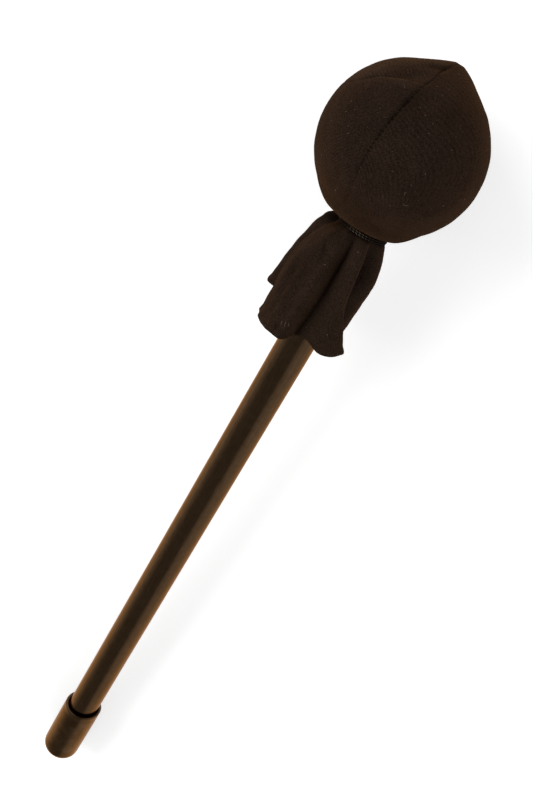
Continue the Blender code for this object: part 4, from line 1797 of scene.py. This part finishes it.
@dataclass
class Lint:
    """Pale fibres on the knit: the ones that stand out in the photo and a sparse even scatter.

    strays holds theta, phi and length of each fibre on the ball that stands out, and caught holds
    fold phase, depth, length and lie of the few on the skirt. Both are thicker than the scatter.
    """

    ball: Ball = field(default_factory=Ball)
    skirt: Skirt = field(default_factory=Skirt)
    neck: Neck = field(default_factory=Neck)
    strays: tuple = (
        (94, 15, 1.5), (104, 20, 1.9), (88, 60, 1.0), (94, 44, 0.9), (71, 22, 0.7), (30, 28, 0.7),
        (49, 42, 0.6), (80, 2, 0.7), (110, 12, 0.7), (64, -50, 0.6), (109, -51, 0.7), (126, -30, 1.0),
    )
    caught: tuple = (
        (-0.34, 5.8, 0.8, 0.6), (1.15, 12.0, 0.8, 2.0), (2.61, 3.8, 0.7, 1.0), (2.62, 32.4, 0.8, 0.3),
        (0.80, 37.1, 1.5, 0.4), (1.04, 36.6, 2.0, 0.3), (1.27, 36.2, 1.6, 0.4),
    )
    scatter: int = 46
    spread: float = 1.75
    radius: float = 0.030
    thick: float = 0.048
    off_ball: float = 0.16
    off_skirt: float = 0.22

    def fibres(self) -> list[tuple]:
        """Theta, phi and length of each fibre on the ball. The scatter follows the golden angle.

        Returns:
            One row a fibre, the strays first.
        """
        order = np.arange(self.scatter)
        golden = math.pi * (3.0 - math.sqrt(5.0))
        theta = np.arccos(1.0 - self.spread * (order + 0.5) / self.scatter)
        phi = np.mod(order * golden + 0.9, TURN) - math.pi
        length = 0.35 + 0.35 * np.sin(order * 2.4) ** 2
        strays = [(radians(ring), radians(aside), size) for ring, aside, size in self.strays]
        return strays + list(zip(theta, phi, length))

    def build(self) -> list[Piece]:
        """Make all fibres as one piece.

        Returns:
            The new pieces.
        """
        paths = [self.on_ball(1.7 * index, *fibre) for index, fibre in enumerate(self.fibres())]
        paths += [self.on_skirt(*fibre) for fibre in self.caught]
        radii = [self.thick] * len(self.strays) + [self.radius] * self.scatter
        radii += [self.thick] * len(self.caught)
        piece = tubes("stray_lint", paths, radii, 5)
        pale = PlainFinish("stray_lint", (0.20, 0.15, 0.10), 0.9, 300.0, (2.0, 0.5), 0.45,
                           (0.35, 0.65), 0.0)
        finish_piece(piece, pale.build(), Slot.COVER)
        return [piece]

    def on_ball(self, lie: float, theta: float, phi: float, size: float) -> Array:
        """Path of a fibre on the ball, a short bow that keeps off the cloth.

        Args:
            lie: Its direction from straight down, in radians.
            theta: Ring of its middle.
            phi: Azimuth of its middle.
            size: Its length.

        Returns:
            Points of its centre line.
        """
        along = np.linspace(-0.5, 0.5, 6)
        reach = along * size / self.ball.radius
        bow = 0.35 * size / self.ball.radius * (4 * along ** 2)
        theta_line = theta + reach * math.cos(lie) - bow * math.sin(lie)
        ring = max(math.sin(theta), 0.05)
        phi_line = phi + (reach * math.sin(lie) + bow * math.cos(lie)) / ring
        high = self.ball.radius + self.ball.relief(theta_line, phi_line) + self.off_ball
        return self.ball.point(theta_line, phi_line, high)

    def on_skirt(self, phase: float, depth: float, size: float, lie: float) -> Array:
        """Path of a fibre on the skirt, a short bow that keeps off the cloth.

        Args:
            phase: Fold phase of its middle.
            depth: Depth of its middle below the neck.
            size: Its length.
            lie: Its direction from straight down, in radians.

        Returns:
            Points of its centre line.
        """
        folds = len(self.skirt.folds)
        along = np.linspace(-0.5, 0.5, 7) * size
        bow = 0.4 * size * (along / size) ** 2
        down = depth + along * math.cos(lie) - bow * math.sin(lie)
        near = np.mod(np.array([phase, phase + 0.1]), folds)
        (here, beside), (radius, _), _ = self.skirt.place(near, np.full(2, depth))
        per_phase = 10.0 * radius * (beside - here)
        aside = (along * math.sin(lie) + bow * math.cos(lie)) / per_phase
        azimuth, radius, _ = self.skirt.place(np.mod(phase % folds + aside, folds), down)
        return around(radius + self.off_skirt, azimuth, self.neck.base - down)


@dataclass
class Studio:
    """Pale table, plain soft light and the photo's camera.

    room holds the brightness of the room at angles in degrees from overhead, across the handle.
    lamps holds name, place in metres, width and height, and watts of each soft light.
    """

    camera_place: tuple = (0.034737, -0.00212, 0.31974)
    camera_turn: tuple = (-21.192, 11.840, -61.770)
    sensor_width: float = 36.0
    lens: float = 900.0 / 533.0 * 36.0
    floor_size: float = 6.0
    floor_drop: float = 0.00002
    paper: tuple = (0.86, 0.86, 0.86)
    paper_light: float = 0.5
    room: tuple = (
        (-90, 1.0), (-74, 0.72), (-58, 0.46), (-44, 0.33), (0, 0.30), (26, 0.32), (36, 0.62),
        (48, 0.86), (66, 1.0), (90, 1.05),
    )
    lamps: tuple = (
        ("soft_key", (0.25, 1.3, 0.9), (1.4, 1.0), 17.0),
        ("soft_fill", (-0.6, -1.2, 0.6), (1.2, 1.0), 3.8),
    )

    def add_camera(self) -> None:
        """Place the camera where the photo's perspective says that it was."""
        data = bpy.data.cameras.new("photo_camera")
        data.lens = self.lens
        data.sensor_fit = "HORIZONTAL"
        data.sensor_width = self.sensor_width
        data.clip_start = 0.01
        camera = bpy.data.objects.new("photo_camera", data)
        camera.location = self.camera_place
        camera.rotation_euler = Euler([radians(turn) for turn in self.camera_turn], "XYZ")
        bpy.context.scene.collection.objects.link(camera)
        bpy.context.scene.camera = camera

    def add_floor(self) -> None:
        """Make the table top, which the camera sees as white under a faint shadow."""
        corners = self.floor_size / 2 * np.array([[-1, -1, 0], [1, -1, 0], [1, 1, 0], [-1, 1, 0]])
        corners[:, 2] = -self.floor_drop
        floor = add_mesh("table_top", corners, np.array([[0, 1, 2, 3]]))
        n = Nodes.named("white_paper")
        n.set(Base_Color=self.paper, Roughness=0.9, Specular_IOR_Level=0.1)
        light = n.add("ShaderNodeEmission")
        n.put(WHITE, light.inputs["Color"])
        n.put(self.paper_light, light.inputs["Strength"])
        rays = n.add("ShaderNodeLightPath").outputs
        seen = n.maths("MAXIMUM", rays["Is Camera Ray"], rays["Is Glossy Ray"])
        both, switch = n.add("ShaderNodeAddShader"), n.add("ShaderNodeMixShader")
        plain, output = n.shader.outputs[0], n.tree.nodes["Material Output"]
        for source, target in ((plain, both.inputs[0]), (light.outputs[0], both.inputs[1]),
                               (seen, switch.inputs[0]), (plain, switch.inputs[1]),
                               (both.outputs[0], switch.inputs[2]),
                               (switch.outputs[0], output.inputs["Surface"])):
            n.join(source, target)
        floor.data.materials.append(n.owner)

    def add_world(self) -> None:
        """Make the room: dim overhead, a bright wall on the right and a paler horizon on the left.

        Its brightness follows the angle from overhead across the handle, from the left horizon at
        -90 degrees to the right one at 90. The camera sees it as white.
        """
        n = Nodes(bpy.data.worlds.new("studio_room"), "Background")
        apart = n.add("ShaderNodeSeparateXYZ")
        n.join(n.coordinates("Generated"), apart.inputs[0])
        angle = n.maths("ARCTAN2", apart.outputs[1], apart.outputs[2])
        place = n.less(0.5, n.maths("DIVIDE", angle, math.pi))
        stops = tuple(((degrees + 90.0) / 180.0, (level,) * 3) for degrees, level in self.room)
        seen = n.add("ShaderNodeLightPath").outputs["Is Camera Ray"]
        n.set(Color=n.mix(seen, n.ramp(place, stops), WHITE))
        bpy.context.scene.world = n.owner

    @staticmethod
    def add_softbox(name: str, place: tuple, size: tuple, watts: float) -> None:
        """Add one rectangular soft light that faces the origin.

        Args:
            name: Its name.
            place: Where it stands, in metres.
            size: Its width and height.
            watts: Its power.
        """
        data = bpy.data.lights.new(name, "AREA")
        data.shape = "RECTANGLE"
        data.size, data.size_y = size
        data.energy = watts
        lamp = bpy.data.objects.new(name, data)
        lamp.visible_glossy = False
        lamp.location = place
        x, y, z = place
        lamp.rotation_euler = (math.atan2(math.hypot(x, y), z), 0.0, math.atan2(x, -y))
        bpy.context.scene.collection.objects.link(lamp)

    def build(self) -> None:
        """Set up the room."""
        bpy.context.scene.view_settings.view_transform = "Standard"
        self.add_camera()
        self.add_floor()
        self.add_world()
        for lamp in self.lamps:
            self.add_softbox(*lamp)


def finish_piece(piece: Piece, material: Material, slot: Slot, *nodes: str) -> None:
    """Give a piece its material and body, and hide the nodes that it stands for.

    Args:
        piece: The piece.
        material: Its material.
        slot: Not used.
        nodes: Nodes of the model that it replaces.
    """
    piece.data.materials.append(material)
    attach(piece, BODY)
    if nodes:
        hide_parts(*nodes)


def corners(box: tuple) -> list:
    """Lowest and highest corner of a box as plain lists."""
    return [[float(value) for value in corner] for corner in box]


def main() -> None:
    """Build the mallet and the room round it."""
    logging.basicConfig(level=logging.INFO, format="%(name)s: %(message)s")
    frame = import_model()
    Studio().build()
    for assembly in (Handle(), EndCap(), Stuffing(), Cover(), TieCord(), Lint()):
        kind = type(assembly).__name__
        for piece in assembly.build():
            LOG.info("%s: %s with %d faces", kind, piece.name, len(piece.data.polygons))
    Stuffing.dress_core(frame["nodes"])
    bpy.context.view_layer.update()
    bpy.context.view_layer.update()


if __name__ == "__main__":
    main()
